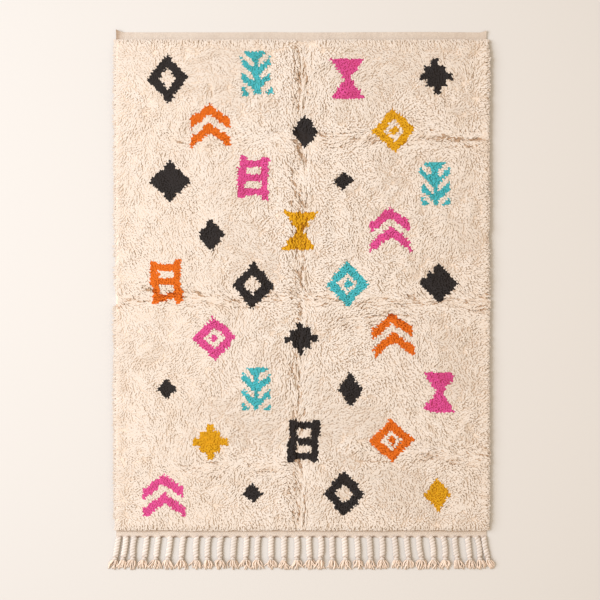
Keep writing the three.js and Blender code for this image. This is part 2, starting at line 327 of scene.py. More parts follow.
# %% Yarn colours
YARNS = {
    "cream": (0.734, 0.661, 0.602),
    "charcoal": (0.024, 0.0205, 0.021),
    "magenta": (0.64, 0.075, 0.285),
    "turquoise": (0.058, 0.425, 0.50),
    "orange": (0.665, 0.140, 0.008),
    "mustard": (0.65, 0.335, 0.008),
}
YARN_NAMES = list(YARNS)
YARN_TINTS = np.array(list(YARNS.values()))
KNOT_COLUMNS = 158
KNOT_ROWS = 208
KNOT_WIDE = (RIGHT - LEFT) / KNOT_COLUMNS
KNOT_LONG = (FAR - NEAR) / KNOT_ROWS
print("one knot is", round(KNOT_WIDE, 2), "by", round(KNOT_LONG, 2), "mm")

# %% Motifs, as tests on the distances u across and v along from the middle
MOTIFS = {
    "lozenge": lambda u, v: abs(u) + 0.8 * abs(v) < 54,
    "eye": lambda u, v: (abs(abs(u) + abs(v) - 65) < 23) | (abs(u) + abs(v) < 21),
    "ring": lambda u, v: abs(abs(u) + 0.85 * abs(v) - 58) < 24,
    "hourglass": lambda u, v: (abs(u) < 0.72 * abs(v) + 12) & (abs(v) < 76),
    "chevrons": lambda u, v: (abs(u) < 80) & (abs(abs(v + 0.75 * abs(u) - 30) - 37) < 21),
    "steps": lambda u, v: np.floor(abs(u) / 27 + 0.5) + np.floor(abs(v) / 27 + 0.5) < 3,
    "ladder": lambda u, v: (abs(v) < 84) & (abs(u) < 60) & ((abs(u) > 30) | (abs((v + 29) % 58 - 29) < 14)),
    "star": lambda u, v: (
        (abs(u) + abs(v) < 82) & ((abs(u) < 24) | (abs(v) < 24) | (abs(abs(u) - abs(v)) < 18))
    ),
    "twig": lambda u, v: (
        (abs(v) < 84) & ((abs(u) < 12) | ((abs(u) < 58) & (abs((v - 0.9 * abs(u) + 30) % 60 - 30) < 16)))
    ),
    "dot": lambda u, v: abs(u) + abs(v) < 40,
}
ROWS = [
    [("ring", "charcoal"), ("twig", "turquoise"), ("hourglass", "magenta"), ("steps", "charcoal")],
    [("chevrons", "orange"), ("lozenge", "charcoal"), ("eye", "mustard")],
    [("star", "charcoal"), ("ladder", "magenta"), ("dot", "charcoal"), ("twig", "turquoise")],
    [("lozenge", "charcoal"), ("hourglass", "mustard"), ("chevrons", "magenta")],
    [("ladder", "orange"), ("ring", "charcoal"), ("eye", "turquoise"), ("star", "charcoal")],
    [("eye", "magenta"), ("steps", "charcoal"), ("chevrons", "orange")],
    [("dot", "charcoal"), ("twig", "turquoise"), ("lozenge", "charcoal"), ("hourglass", "magenta")],
    [("steps", "mustard"), ("ladder", "charcoal"), ("eye", "orange")],
    [("chevrons", "magenta"), ("dot", "charcoal"), ("ring", "charcoal"), ("lozenge", "mustard")],
]
ROW_SPAN = 1640.0
COLUMN_SPAN = 1130.0
MOTIFS_IN_SPAN = 3.2
OFF_ACROSS = 16.0
OFF_ALONG = 14.0
MOST_TILT = 0.06


# %% Fill in the chart
def chart_of_knots():
    """The number of each knot's yarn, by column and row."""
    x = LEFT + KNOT_WIDE * (np.arange(KNOT_COLUMNS) + 0.5)
    y = NEAR + KNOT_LONG * (np.arange(KNOT_ROWS) + 0.5)
    x, y = np.meshgrid(x, y, indexing="ij")
    chart = np.zeros(x.shape, int)
    middle = (FAR + NEAR) / 2
    for row, motifs in enumerate(ROWS):
        for column, (motif, yarn) in enumerate(motifs):
            share = (column + 0.5) / len(motifs) - 0.5
            across = COLUMN_SPAN * share * len(motifs) / MOTIFS_IN_SPAN + OFF_ACROSS * sway(column, 200 + row)
            down = ROW_SPAN * (0.5 - row / (len(ROWS) - 1))
            along = middle + down + OFF_ALONG * sway(column, 220 + row)
            tilt = MOST_TILT * sway(column, 240 + row)
            u = (x - across) * math.cos(tilt) + (y - along) * math.sin(tilt)
            v = (y - along) * math.cos(tilt) - (x - across) * math.sin(tilt)
            chart[MOTIFS[motif](u, v)] = YARN_NAMES.index(yarn)
    return chart


def knot_at(x, y):
    """The column and row of the knot at each place."""
    column = np.clip(((x - LEFT) / KNOT_WIDE).astype(int), 0, KNOT_COLUMNS - 1)
    row = np.clip(((y - NEAR) / KNOT_LONG).astype(int), 0, KNOT_ROWS - 1)
    return column, row


CHART = chart_of_knots()
print("knots of each yarn:", dict(zip(YARN_NAMES, np.bincount(CHART.ravel()).tolist())))

# %% [markdown]
# ## The lie of the pile
# The rug was folded for storage, and the folds left troughs where the yarn lies along the crease and
# parts in dark lines. Elsewhere it swirls in soft clumps. Over the sides and the two ends it leans
# outwards. All this is one field of directions, worked out from the creases, the rim and slow noise.


# %% Creases and the height of the pile
CREASE_BEND_PITCH = 160.0
CREASE_DEPTH_PITCH = 210.0
DEPTH_SHARE = 0.8
DEPTH_SPREAD = 0.35
RIDGE_SHARE = 0.3
RIDGE_PLACE = 2
DEEPEST = max(crease["depth"] for crease in CREASES)


def bell(distance, width):
    """A soft bump: 1 in its middle, and almost nothing at twice its width."""
    return np.exp(-((distance / width) ** 2))


def crease_place(crease, x, y):
    """How far along a crease a point is, how far off it and past its end, and the crease's direction."""
    (x0, y0), (x1, y1) = crease["start"], crease["end"]
    length = math.hypot(x1 - x0, y1 - y0)
    ahead = ((x1 - x0) / length, (y1 - y0) / length)
    gone = (x - x0) * ahead[0] + (y - y0) * ahead[1]
    bend = crease["waver"] * smooth_noise(gone, y0, CREASE_BEND_PITCH, 4)
    off = (y - y0) * ahead[0] - (x - x0) * ahead[1] - bend
    past = np.maximum(0, np.maximum(-gone, gone - length))
    return gone, off, past, ahead


def crease_dip(crease, x, y):
    """How deep a crease is: a soft trough with a low ridge along each side."""
    gone, off, past, _ = crease_place(crease, x, y)
    spread = np.hypot(off, past) / crease["half_width"]
    uneven = smooth_noise(gone, crease["start"][0], CREASE_DEPTH_PITCH, 5)
    depth = crease["depth"] * (DEPTH_SHARE + DEPTH_SPREAD * uneven)
    return depth * (bell(spread, 1) - RIDGE_SHARE * bell(spread - RIDGE_PLACE, 1))


def rim_inset(x, y):
    return np.minimum(np.minimum(x - LEFT, RIGHT - x), np.minimum(y - NEAR, FAR - y))


def pile_top(x, y):
    """The height of the pile, which falls off over its rounded shoulder."""
    full = PILE_HEIGHT + LUMPS_KEPT * layered_noise(x, y, LUMPS)
    full = full - DIP_KEPT * sum(crease_dip(crease, x, y) for crease in CREASES)
    shoulder = np.sin(np.clip(rim_inset(x, y) / SHOULDER, 0, 1) * math.pi / 2)
    rim = PILE_RIM_HEIGHT - END_RIM_DROP * bell(np.minimum(y - NEAR, FAR - y), SHOULDER)
    return rim + (full - rim) * shoulder


print("pile at the middle:", round(float(pile_top(np.array(200.0), np.array(200.0))), 1), "mm high")

# %% [markdown]
# ### Partings along the creases
# Beside a fold the pile opens in a few thin lines that run along it, waver, and come and go. The yarn
# beside a line is pushed off it, so that the roots show between, and the yarn and bed in a line are
# painted dark brown: painted shade in the gap. One side of each fold is also painted darker: painted
# shade in a broad dull trough.

# %% Where the pile parts
PARTING_OFFSETS = [-42.0, -29.0, -18.0, -8.0, 3.0, 16.0]
PARTING_WIDTH = 2.1
PARTING_PUSH = 3.2
PARTING_WAVER = 6.0
WAVER_PITCH = 52.0
FINE_WAVER = 0.35 * PARTING_WAVER
FINE_WAVER_PITCH = 17.0
OPEN_PITCH = 58.0
OPEN_CONTRAST = 2.6
OPEN_SHARE = 0.3
OPEN_PAST_END = 30.0
FULLY_OPEN_DEPTH = 6
SIDE_CREASE_SHARE = 0.8
CROSSING_LOSS = 0.8
UPSET_WIDTH = 38.0
UPSET_PITCH = 120.0
UPSET_FROM = 0.35
CALM_START = 20.0
CALM_SPREAD = 560.0
# Painted shade: the yarn in a broad trough along one side of each crease is painted darker.
TROUGH_WIDTH = 22.0
TROUGH_OFF = 14.0
TROUGH_PAST_END = 20.0
TROUGH_PITCH = 70.0
TROUGH_SHARE = 0.75
TROUGH_SPREAD = 0.35


def partings(x, y):
    """How deep in a parting a point is, from 0 to 1, and how far its yarn is pushed off the line."""
    deep, push_x, push_y = 0 * x, 0 * x, 0 * x
    crossing = bell(crease_place(CREASES[0], x, y)[1], UPSET_WIDTH)
    for n, crease in enumerate(CREASES):
        gone, off, past, ahead = crease_place(crease, x, y)
        taper = bell(past, OPEN_PAST_END)
        strength = min(1.0, crease["depth"] / FULLY_OPEN_DEPTH)
        for line, offset in enumerate(PARTING_OFFSETS):
            layer = 100 + 10 * n + line
            bend = PARTING_WAVER * smooth_noise(gone, 5 * line, WAVER_PITCH, 100 + 10 * n)
            bend = bend + FINE_WAVER * smooth_noise(gone, 9 * line, FINE_WAVER_PITCH, layer)
            held = OPEN_CONTRAST * smooth_noise(gone, 31 * line, OPEN_PITCH, 200 + layer) + OPEN_SHARE
            held = np.clip(held, 0, 1) * taper * strength
            if n > 0:
                held = SIDE_CREASE_SHARE * held * (1 - CROSSING_LOSS * crossing)
            away = off - offset - bend
            near = bell(away, PARTING_WIDTH) * held
            deep = np.maximum(deep, near)
            push = PARTING_PUSH * np.sign(away) * near
            push_x = push_x - push * ahead[1]
            push_y = push_y + push * ahead[0]
    return deep, push_x, push_y


def disturbed(x, y):
    """How much the pile is disturbed at a point: most along the creases, and a little here and there."""
    most = np.clip(smooth_noise(x, y, UPSET_PITCH, 55) - UPSET_FROM, 0, 1)
    for crease in CREASES:
        _, off, past, _ = crease_place(crease, x, y)
        most = np.maximum(most, crease["depth"] / DEEPEST * bell(np.hypot(off, past), UPSET_WIDTH))
    return most


def calm(x):
    """How calm the pile is, from 0 to 1: it lies closer and evener towards the left side."""
    return ease(np.clip((CALM_START - x) / CALM_SPREAD, 0, 1))


def trough(x, y):
    """How far down in the trough of a crease a point is, from 0 to about 1."""
    most = 0 * x
    for n, crease in enumerate(CREASES):
        gone, off, past, _ = crease_place(crease, x, y)
        uneven = TROUGH_SHARE + TROUGH_SPREAD * smooth_noise(gone, 0, TROUGH_PITCH, 300 + n)
        near = bell(off + TROUGH_OFF, TROUGH_WIDTH) * bell(past, TROUGH_PAST_END)
        most = np.maximum(most, (crease["depth"] / DEEPEST) ** 1.5 * uneven * near)
    return most


# %% The way the yarn lies
SWIRLS = [
    {"pitch": 230.0, "size": 1.0, "layer": 21},
    {"pitch": 110.0, "size": 0.5, "layer": 31},
    {"pitch": 50.0, "size": 0.3, "layer": 41},
    {"pitch": 25.0, "size": 0.65, "layer": 45},
]
NEARWARD = 0.15
CREASE_PULL = 3.4
CREASE_SPREAD = 44.0
INWARD_PULL = 0.35
INWARD_WIDTH = 9.0
RIM_PULL = 2.6
RIM_SPREAD = 30.0
RIM_WAVER = 16.0
RIM_WAVER_PITCH = 44.0


def pile_lie(x, y):
    """The direction in which the yarn lies, as a unit vector's two parts, and how firmly it lies so."""
    across = layered_noise(x, y, SWIRLS)
    along = layered_noise(x, y, SWIRLS, shift=1) - NEARWARD
    for crease in CREASES:
        _, off, past, ahead = crease_place(crease, x, y)
        pull = CREASE_PULL * crease["depth"] / DEEPEST * bell(np.hypot(off, past), CREASE_SPREAD)
        inward = INWARD_PULL * np.tanh(off / INWARD_WIDTH)
        across = across + pull * (ahead[0] + inward * ahead[1])
        along = along + pull * (ahead[1] - inward * ahead[0])
    for inset, way_x, way_y in ((x - LEFT, -1, 0), (RIGHT - x, 1, 0), (y - NEAR, 0, -1), (FAR - y, 0, 1)):
        inward = np.maximum(inset + RIM_WAVER * smooth_noise(x, y, RIM_WAVER_PITCH, 56), 0)
        pull = RIM_PULL * bell(inward, RIM_SPREAD)
        across = across + pull * way_x
        along = along + pull * way_y
    size = np.maximum(np.hypot(across, along), 1e-6)
    return across / size, along / size, size


# %% [markdown]
# ### Locks of yarn
# Yarn that lies together forms locks, and between two locks the pile parts in a thin dark line along
# their direction. Such lines are what smearing a fine noise along the directions gives, so the noise
# is averaged along short walks that start at each point of a grid and follow the yarn both ways.

# %% Smear fine noise along the lie
STREAK_CELL = 4.0
STREAK_PITCH = 10.0
STREAK_WALK = 9


def sampled(values, x, y):
    """Reads a grid between its points."""
    u = np.clip((x - LEFT) / STREAK_CELL, 0, values.shape[0] - 1.001)
    v = np.clip((y - NEAR) / STREAK_CELL, 0, values.shape[1] - 1.001)
    i, j = u.astype(int), v.astype(int)
    right, up = u - i, v - j
    near = values[i, j] * (1 - right) + values[i + 1, j] * right
    far = values[i, j + 1] * (1 - right) + values[i + 1, j + 1] * right
    return near * (1 - up) + far * up


def make_streaks():
    x = np.arange(LEFT, RIGHT + STREAK_CELL, STREAK_CELL)
    y = np.arange(NEAR, FAR + STREAK_CELL, STREAK_CELL)
    x, y = np.meshgrid(x, y, indexing="ij")
    lie_x, lie_y, _ = pile_lie(x, y)
    fine = smooth_noise(x, y, STREAK_PITCH, 61)
    total = fine.copy()
    for way in (-1, 1):
        walk_x, walk_y = x.copy(), y.copy()
        for _ in range(STREAK_WALK):
            step_x, step_y = sampled(lie_x, walk_x, walk_y), sampled(lie_y, walk_x, walk_y)
            walk_x = walk_x + way * STREAK_CELL * step_x
            walk_y = walk_y + way * STREAK_CELL * step_y
            total += sampled(fine, walk_x, walk_y)
    apart = np.gradient(lie_x, STREAK_CELL, axis=0) + np.gradient(lie_y, STREAK_CELL, axis=1)
    return total / total.std(), apart


STREAKS, APART = make_streaks()
STREAK_SLOPE_X, STREAK_SLOPE_Y = np.gradient(STREAKS, STREAK_CELL)
print("streak grid:", STREAKS.shape)

# %% [markdown]
# ## Making a mesh out of arrays
# Tens of thousands of yarn ends are best laid out as arrays of points and faces, and handed to Blender
# in one go. Every such mesh carries a colour for each point, called wool. A pile mesh also carries a
# map called OFBake, on which each yarn's shade has a cell of its own, so that its finish can be baked.


# %% Mesh helpers
def paint(mesh, colours, domain="POINT"):
    """Gives each point or corner of a mesh its wool colour."""
    wool = mesh.attributes.new("wool", "FLOAT_COLOR", domain)
    alpha = np.ones((len(colours), 1))
    wool.data.foreach_set("color", np.hstack([colours, alpha]).astype(np.float32).ravel())


def mesh_from_arrays(name, points, faces, colours, cells=None, smooth=True, normals=None):
    """A mesh of points in millimetres, and of faces as a list of arrays of 3 or 4 corners each."""
    mesh = bpy.data.meshes.new(name)
    corners = np.concatenate([f.ravel() for f in faces])
    sizes = np.concatenate([np.full(len(f), f.shape[1]) for f in faces])
    starts = np.concatenate([[0], np.cumsum(sizes)[:-1]])
    mesh.vertices.add(len(points))
    mesh.vertices.foreach_set("co", (points * MM).astype(np.float32).ravel())
    mesh.loops.add(len(corners))
    mesh.loops.foreach_set("vertex_index", corners.astype(np.int32))
    mesh.polygons.add(len(sizes))
    mesh.polygons.foreach_set("loop_start", starts.astype(np.int32))
    mesh.update(calc_edges=True)
    mesh.polygons.foreach_set("use_smooth", np.ones(len(sizes), bool) & smooth)
    paint(mesh, colours)
    if cells is not None:
        layer = mesh.uv_layers.new(name="OFBake")
        layer.uv.foreach_set("vector", cells.astype(np.float32).ravel())
    if normals is not None:
        mesh.normals_split_custom_set(normals)
    return mesh


def add_piece(name, mesh, finish, node):
    """Puts a finished mesh in the scene, on the rug's one body."""
    piece = bpy.data.objects.new(name, mesh)
    bpy.context.collection.objects.link(piece)
    mesh.materials.append(finish)
    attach(piece, "root")
    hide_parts(node)
    mesh.calc_loop_triangles()
    print(name, "has", len(mesh.loop_triangles), "triangles")
    return piece


# %% [markdown]
# ## Wool
# Hand-spun wool is matt, with a soft bloom where light grazes its fibres. Its colour is not even: each
# yarn is a shade lighter or darker than the next. Its root is painted darker and browner, and so are
# the lower sides of a pile yarn's end: painted shade, deep in the pile. That is in the points' colours,
# because a pattern on the surface wouldn't know one yarn from the next. The twist of the yarn is a fine
# bump.

# %% Wool finish
MATT = {
    "Roughness": 0.95,
    "Specular IOR Level": 0.15,
    "Sheen Roughness": 0.6,
}
BLOOM = {"Sheen Weight": 0.08, "Sheen Tint": (1.0, 0.95, 0.88, 1)}


def wool_finish(name, twist_scale=900.0, bump=0.3):
    """Matt wool in its points' colours, with fuzz of a given scale and strength."""
    finish, start, shader = new_finish(name)
    colour = start.node("ShaderNodeAttribute", {"attribute_name": "wool"}, output="Color")
    feed(shader, "Base Color", colour)
    place = start.node("ShaderNodeTexCoord", output="Object")
    fuzz = start.node("ShaderNodeTexNoise", inputs={"Vector": place, "Scale": twist_scale, "Detail": 2.0})
    raised = start.node("ShaderNodeBump", inputs={"Strength": bump, "Distance": MM, "Height": fuzz})
    feed(shader, "Normal", raised)
    set_sockets(shader, MATT | BLOOM)
    return finish


pile_wool = wool_finish("pile_wool")
bed_wool = wool_finish("bed_wool", twist_scale=260.0, bump=0.6)

# %% [markdown]
# ## The bed of the pile
# Deep between the yarn ends the pile is dense: the lower halves of the knots, packed together. Knotting
# them one by one would take millions of faces that nobody sees. A lumpy bed stands for them, with about
# one face to a knot in the knot's own yarn, so that a black motif is black down to its roots. It is
# painted a little darker than the yarn, painted shade deep in the pile. It is a grid, raised to a little
# under the pile's top, and its rim is folded down.

# %% Pile bed
# The lowest shades are painted shade, dark brown, for the partings; above them the shades run from dull to
# the yarn's own colour.
SHADE_STOPS = [0.0, 0.3, 1.0]
SHADE_TINTS = [(0.54, 0.38, 0.26), (0.91, 0.845, 0.775), (1.0, 1.0, 1.0)]
BED_COLUMNS = 157
BED_ROWS = 206
BED_BELOW_TOP = 5.3
BED_CALM = 2.3
BED_GROOVE = 2.0
# Painted shade: the bed is painted a little darker and browner than the yarn.
BED_PAINTED_SHADE = (0.97, 0.88, 0.785)
BED_SHADE_SPREAD = 0.08
BED_INSET = 5.0
BED_RIM = 30.0
BED_RIM_SHARE = 0.55
BED_FIELD_MORE = 0.45
BED_LEAST = 2.5
PARTING_DEPTH = 6.0


def bed_height(x, y):
    """The top of the dense part, lower in the partings."""
    grooved = (0.5 + disturbed(x, y)) * BED_GROOVE * np.clip(-sampled(STREAKS, x, y), -0.5, 1.5)
    rim = ease(np.clip((rim_inset(x, y) - BED_INSET) / BED_RIM, 0, 1))
    parted = PARTING_DEPTH * partings(x, y)[0]
    below = (BED_BELOW_TOP - BED_CALM * calm(x)) * (BED_RIM_SHARE + BED_FIELD_MORE * rim)
    return np.maximum(CLOTH_THICK + BED_LEAST, pile_top(x, y) - below - (grooved + parted) * rim)


def make_bed():
    shaping = bmesh.new()
    bmesh.ops.create_grid(shaping, x_segments=BED_COLUMNS, y_segments=BED_ROWS, size=0.5)
    wide, long = RIGHT - LEFT - 2 * BED_INSET, FAR - NEAR - 2 * BED_INSET
    for vert in shaping.verts:
        vert.co.x = vert.co.x * wide
        vert.co.y = vert.co.y * long + (FAR + NEAR) / 2
    co = np.array([vert.co[:] for vert in shaping.verts])
    for vert, height in zip(shaping.verts, bed_height(co[:, 0], co[:, 1])):
        vert.co.z = height
    for face in shaping.faces:
        face.smooth = True
    rim = [edge for edge in shaping.edges if edge.is_boundary]
    wall = bmesh.ops.extrude_edge_only(shaping, edges=rim)
    feet = [made for made in wall["geom"] if isinstance(made, bmesh.types.BMVert)]
    for vert in feet:
        vert.co.z = CLOTH_THICK
    bmesh.ops.holes_fill(shaping, edges=[edge for edge in shaping.edges if edge.is_boundary], sides=0)
    bmesh.ops.recalc_face_normals(shaping, faces=shaping.faces)
    bmesh.ops.scale(shaping, vec=(MM, MM, MM), verts=shaping.verts)
    mesh = bpy.data.meshes.new("pile_bed")
    shaping.to_mesh(mesh)
    shaping.free()
    x, y, _ = np.array([face.center[:] for face in mesh.polygons]).T / MM
    column, row = knot_at(x, y)
    # Painted shade: the bed is painted dark brown in the partings.
    dark = partings(x, y)[0][:, None] * (1 - np.array(SHADE_TINTS[0]))
    shade = np.array(BED_PAINTED_SHADE) * (1 + BED_SHADE_SPREAD * sway(column, 300 + row))[:, None]
    colours = YARN_TINTS[CHART[column, row]] * (shade * (1 - dark))
    corners = [len(face.loop_indices) for face in mesh.polygons]
    paint(mesh, np.repeat(colours, corners, axis=0), "CORNER")
    return mesh


pile_bed = add_piece("pile_bed", make_bed(), bed_wool, "rug_body")

# %% [markdown]
# ## Yarn ends
# The pile itself is some 65,000 cut yarn ends, each a few millimetres thick. A yarn end rises from its
# knot and bends over the way the yarn lies. Hair curves would be quicker to lay, but they aren't a mesh
# that can be kept. So each is a flattened tube of three sides: a pointed root, two rings and a tip. Its
# shading normals are turned partly upwards, so that so few faces look like soft wool. The fields above
# give the lie, the height and the partings, and chance adds a little to each. A name that ends in UPSET
# is what a disturbed place changes, and one in CALMED is what the calm left side takes away.

# %% Where the yarn ends are rooted
END_COLUMNS = 216
END_ROWS = 290
ROOT_INSET = 5.0
ROOT_CHANCE = 0.42
RIM_GAP = 5.0
RIM_INSET = 4
RIM_CHANCE = 0.35
RIM_ROWS = 2
RIM_ROW_GAP = 3


def field_roots():
    """Roots in staggered rows over the field, a little out of place."""
    column, row = np.meshgrid(np.arange(END_COLUMNS), np.arange(END_ROWS), indexing="ij")
    column, row = column.ravel(), row.ravel()
    pitch_x = (RIGHT - LEFT - 2 * ROOT_INSET) / END_COLUMNS
    pitch_y = (FAR - NEAR - 2 * ROOT_INSET) / END_ROWS
    stagger = column + 0.25 + 0.5 * (row % 2)
    x = LEFT + ROOT_INSET + pitch_x * (stagger + ROOT_CHANCE * sway(column, 400 + row))
    y = NEAR + ROOT_INSET + pitch_y * (row + 0.5 + ROOT_CHANCE * sway(column, 800 + row))
    return x, y, column, row


def rim_roots():
    """More roots, close together along the rim, for the locks that hang over it."""
    places = []
    for start, end, fixed, upright in (
        (NEAR, FAR, LEFT + RIM_INSET, True),
        (NEAR, FAR, RIGHT - RIM_INSET, True),
        (LEFT, RIGHT, NEAR + RIM_INSET, False),
        (LEFT, RIGHT, FAR - RIM_INSET, False),
    ):
        count = int((end - start) / RIM_GAP)
        for line in range(RIM_ROWS):
            k = np.arange(count)
            along = start + (end - start) * (k + 0.5 + RIM_CHANCE * sway(k, 1200 + line)) / count
            outward = RIM_ROW_GAP * chance(k, 1210 + line) - 2 - RIM_ROW_GAP * line
            level = fixed + np.sign(fixed) * outward
            places.append((level, along) if upright else (along, level))
    x = np.concatenate([place[0] for place in places])
    y = np.concatenate([place[1] for place in places])
    k = np.arange(len(x))
    return x, y, k, np.full(len(k), 5000)


# %% Which way a yarn end lies, and how far
LONG_LEAN = 14.0
SHORT_LEAN = 9.0
LEAN_SPREAD = 0.25
LEAN_UPSET = 0.3
TURN = 0.52
TURN_HELD = 0.7
LOOK_AHEAD = (0, 12, 24)
BARE_GAIN = 24.0
BARE_FROM = 0.1
BARE_LOSS = 0.8
LOOSE = 0.15
FIRM = 0.35


def lean_of_ends(x, y, i, j, upset):
    """How each end leans over, across and along, and how long it is, from 0 to 1.

    Ends on or near a motif stay short, so that its edges keep their steps.
    """
    lie_x, lie_y, hold = pile_lie(x, y)
    turn = TURN * (1 - TURN_HELD * upset) * sway(i, 2000 + j)
    way_x = lie_x * np.cos(turn) - lie_y * np.sin(turn)
    way_y = lie_y * np.cos(turn) + lie_x * np.sin(turn)
    dyed = sum(CHART[knot_at(x + way_x * step, y + way_y * step)] for step in LOOK_AHEAD) > 0
    bare = np.clip(BARE_GAIN * sampled(APART, x, y) - BARE_FROM, 0, 1)
    long = np.where(dyed, 0, np.clip((hold - LOOSE) / FIRM, 0.2, 1) * (1 - BARE_LOSS * bare))
    lean = SHORT_LEAN + (LONG_LEAN - SHORT_LEAN) * long
    lean = lean * (1 + LEAN_SPREAD * sway(i, 4000 + j)) * (1 + LEAN_UPSET * upset)
    return lean * way_x, lean * way_y, long, lie_x, lie_y


# %% How high a yarn end reaches
TUFTS = [
    {"pitch": 21.0, "size": 0.5, "layer": 91},
    {"pitch": 11.0, "size": 0.4, "layer": 92},
]
UNEVEN_CALMED = 0.7
LOCK_RISE = 0.36
LOCK_RISE_UPSET = 1.0
DROP = 0.9
DROP_UPSET = 1.8
PARTING_DROP = 2.5
FOOT_OVER_BED = 0.6
RIM_ROOTS = 8.0


def height_of_ends(x, y, i, j, upset, uneven):
    """The heights of each end's foot and of the pile's top over it."""
    streak = sampled(STREAKS, x, y)
    rise = uneven * (LOCK_RISE + LOCK_RISE_UPSET * upset) * np.clip(streak, -1.8, 1.2)
    top = pile_top(x, y) + rise
    top = top - uneven * (DROP + DROP_UPSET * upset) * chance(i, 6000 + j)
    top = top - PARTING_DROP * partings(x, y)[0] + layered_noise(x, y, TUFTS)
    foot = bed_height(x, y) + FOOT_OVER_BED
    on_cloth = np.minimum(foot, CLOTH_THICK + 5 * chance(i, 6500 + j))
    return np.where(rim_inset(x, y) < RIM_ROOTS, on_cloth, foot), top


# %% The shade of a yarn end
SHADES = 64
TONE = 0.74
# Painted shade: the yarn is painted darker towards the calm left side, whose shallow gaps give little shade.
PAINTED_SHADE_CALMED = 0.22
TONE_SPREAD = 0.13
TONE_SPREAD_UPSET = 0.20
TONE_PATCHES = [
    {"pitch": 34.0, "size": 0.05, "layer": 71},
    {"pitch": 15.0, "size": 0.04, "layer": 72},
]
# Painted light and shade: the yarn is painted lighter towards the left side and darker towards the right.
PAINTED_FALLOFF = 0.15
# Painted light and shade: yarn on the crest of a lock is painted lighter, and yarn between locks darker.
LOCK_PAINTED_LIGHT_AND_SHADE = 0.05
PARTING_PAINTED_SHADE = 0.65
TROUGH_PAINTED_SHADE = 0.2
# Painted shade: ends in the deepest gaps between locks are painted darker, more where the pile is disturbed.
GAP_PAINTED_SHADE = 0.12
GAP_PAINTED_SHADE_UPSET = 0.25
GAP_FROM = 0.8


def shade_of_ends(x, y, i, j, upset, uneven, seen):
    """The number of each end's shade: its own tone, which differs at random, plus painted light and shade."""
    streak = sampled(STREAKS, x, y)
    tone = TONE - PAINTED_SHADE_CALMED * calm(x)
    tone = tone + uneven * (TONE_SPREAD + TONE_SPREAD_UPSET * upset) * sway(i, 9500 + j)
    for patch in TONE_PATCHES:
        tone = tone + patch["size"] * smooth_noise(x, y, patch["pitch"], patch["layer"])
    tone = tone - PAINTED_FALLOFF * x / RIGHT + LOCK_PAINTED_LIGHT_AND_SHADE * streak
    # Painted shade: darker in a parting and in the trough beside a crease.
    tone = tone - PARTING_PAINTED_SHADE * partings(*seen)[0] - TROUGH_PAINTED_SHADE * trough(*seen)
    tone = tone - (GAP_PAINTED_SHADE + GAP_PAINTED_SHADE_UPSET * upset) * np.clip(-streak - GAP_FROM, 0, 1)
    return np.clip((tone * SHADES).astype(int), 0, SHADES - 1)


# %% Lay the yarn ends
STOPS = [0.0, 0.36, 0.92, 1.0]
THICKNESS = 3.5
SHORT_THICKNESS = 3.6
THICKNESS_SPREAD = 0.18
ROOT_PUSH = 0.8
TIP_PUSH = 0.3
GATHER = 0.8
GATHER_UPSET = 2.2
GATHER_GAIN = 14.0
BOW = 2.8
LEFT_REACH = 750.0
RIGHT_REACH = 754.0
NEAR_REACH = 1.0
FAR_REACH = 4.0
EDGE_WAVER = 3.0
EDGE_WAVER_PITCH = 33.0
RIM_EASE = 26.0
DROOP = 0.36
LOWEST_TIP = 3.2
SEEN_SHARE = 0.6


def lay_yarn(x, y, i, j):
    """The centre line and thickness of each yarn end, and the number of its yarn and shade."""
    _, push_x, push_y = partings(x, y)
    x, y = x + ROOT_PUSH * push_x, y + ROOT_PUSH * push_y
    upset, uneven = disturbed(x, y), 1 - UNEVEN_CALMED * calm(x)
    lean_x, lean_y, long, lie_x, lie_y = lean_of_ends(x, y, i, j, upset)
    foot, top = height_of_ends(x, y, i, j, upset, uneven)
    across = sampled(STREAK_SLOPE_X, x, y) * -lie_y + sampled(STREAK_SLOPE_Y, x, y) * lie_x
    gather = (GATHER + GATHER_UPSET * upset) * np.clip(across * GATHER_GAIN, -1, 1)
    tip_x = x + lean_x - gather * lie_y + TIP_PUSH * push_x
    tip_y = y + lean_y + gather * lie_x + TIP_PUSH * push_y
    ragged = 2 * chance(i, 7000 + j)
    tip_x = np.clip(tip_x, -LEFT_REACH - ragged, RIGHT_REACH + ragged)
    near_edge = NEAR - NEAR_REACH - 2 * chance(i, 7100 + j)
    near_edge = near_edge - EDGE_WAVER * smooth_noise(x, 0, EDGE_WAVER_PITCH, 57)
    tip_y = np.clip(tip_y, near_edge, FAR + FAR_REACH)
    outside = np.maximum(0, np.maximum(abs(tip_x) - RIGHT, np.maximum(NEAR - tip_y, tip_y - FAR)))
    rim = ease(np.clip(rim_inset(x, y) / RIM_EASE, 0, 1))
    height = np.maximum(top - outside * DROOP * (1 - rim) - 0.5, LOWEST_TIP + 2 * chance(i, 7500 + j))
    bow = BOW * sway(i, 8000 + j)
    lines = []
    for t in STOPS:
        reach = t**1.35
        rise = 1 - (1 - t) ** 2.1 - 0.10 * t**4
        line_x = x + (tip_x - x) * reach - lie_y * bow * math.sin(math.pi * t)
        line_y = y + (tip_y - y) * reach + lie_x * bow * math.sin(math.pi * t)
        lines.append(np.stack([line_x, line_y, foot + (height - foot) * rise], axis=1))
    thick = SHORT_THICKNESS + (THICKNESS - SHORT_THICKNESS) * long
    thick = thick * (1 + THICKNESS_SPREAD * sway(i, 9000 + j))
    seen = x + SEEN_SHARE * (tip_x - x), y + SEEN_SHARE * (tip_y - y)
    return lines, thick, CHART[knot_at(*seen)], shade_of_ends(x, y, i, j, upset, uneven, seen)


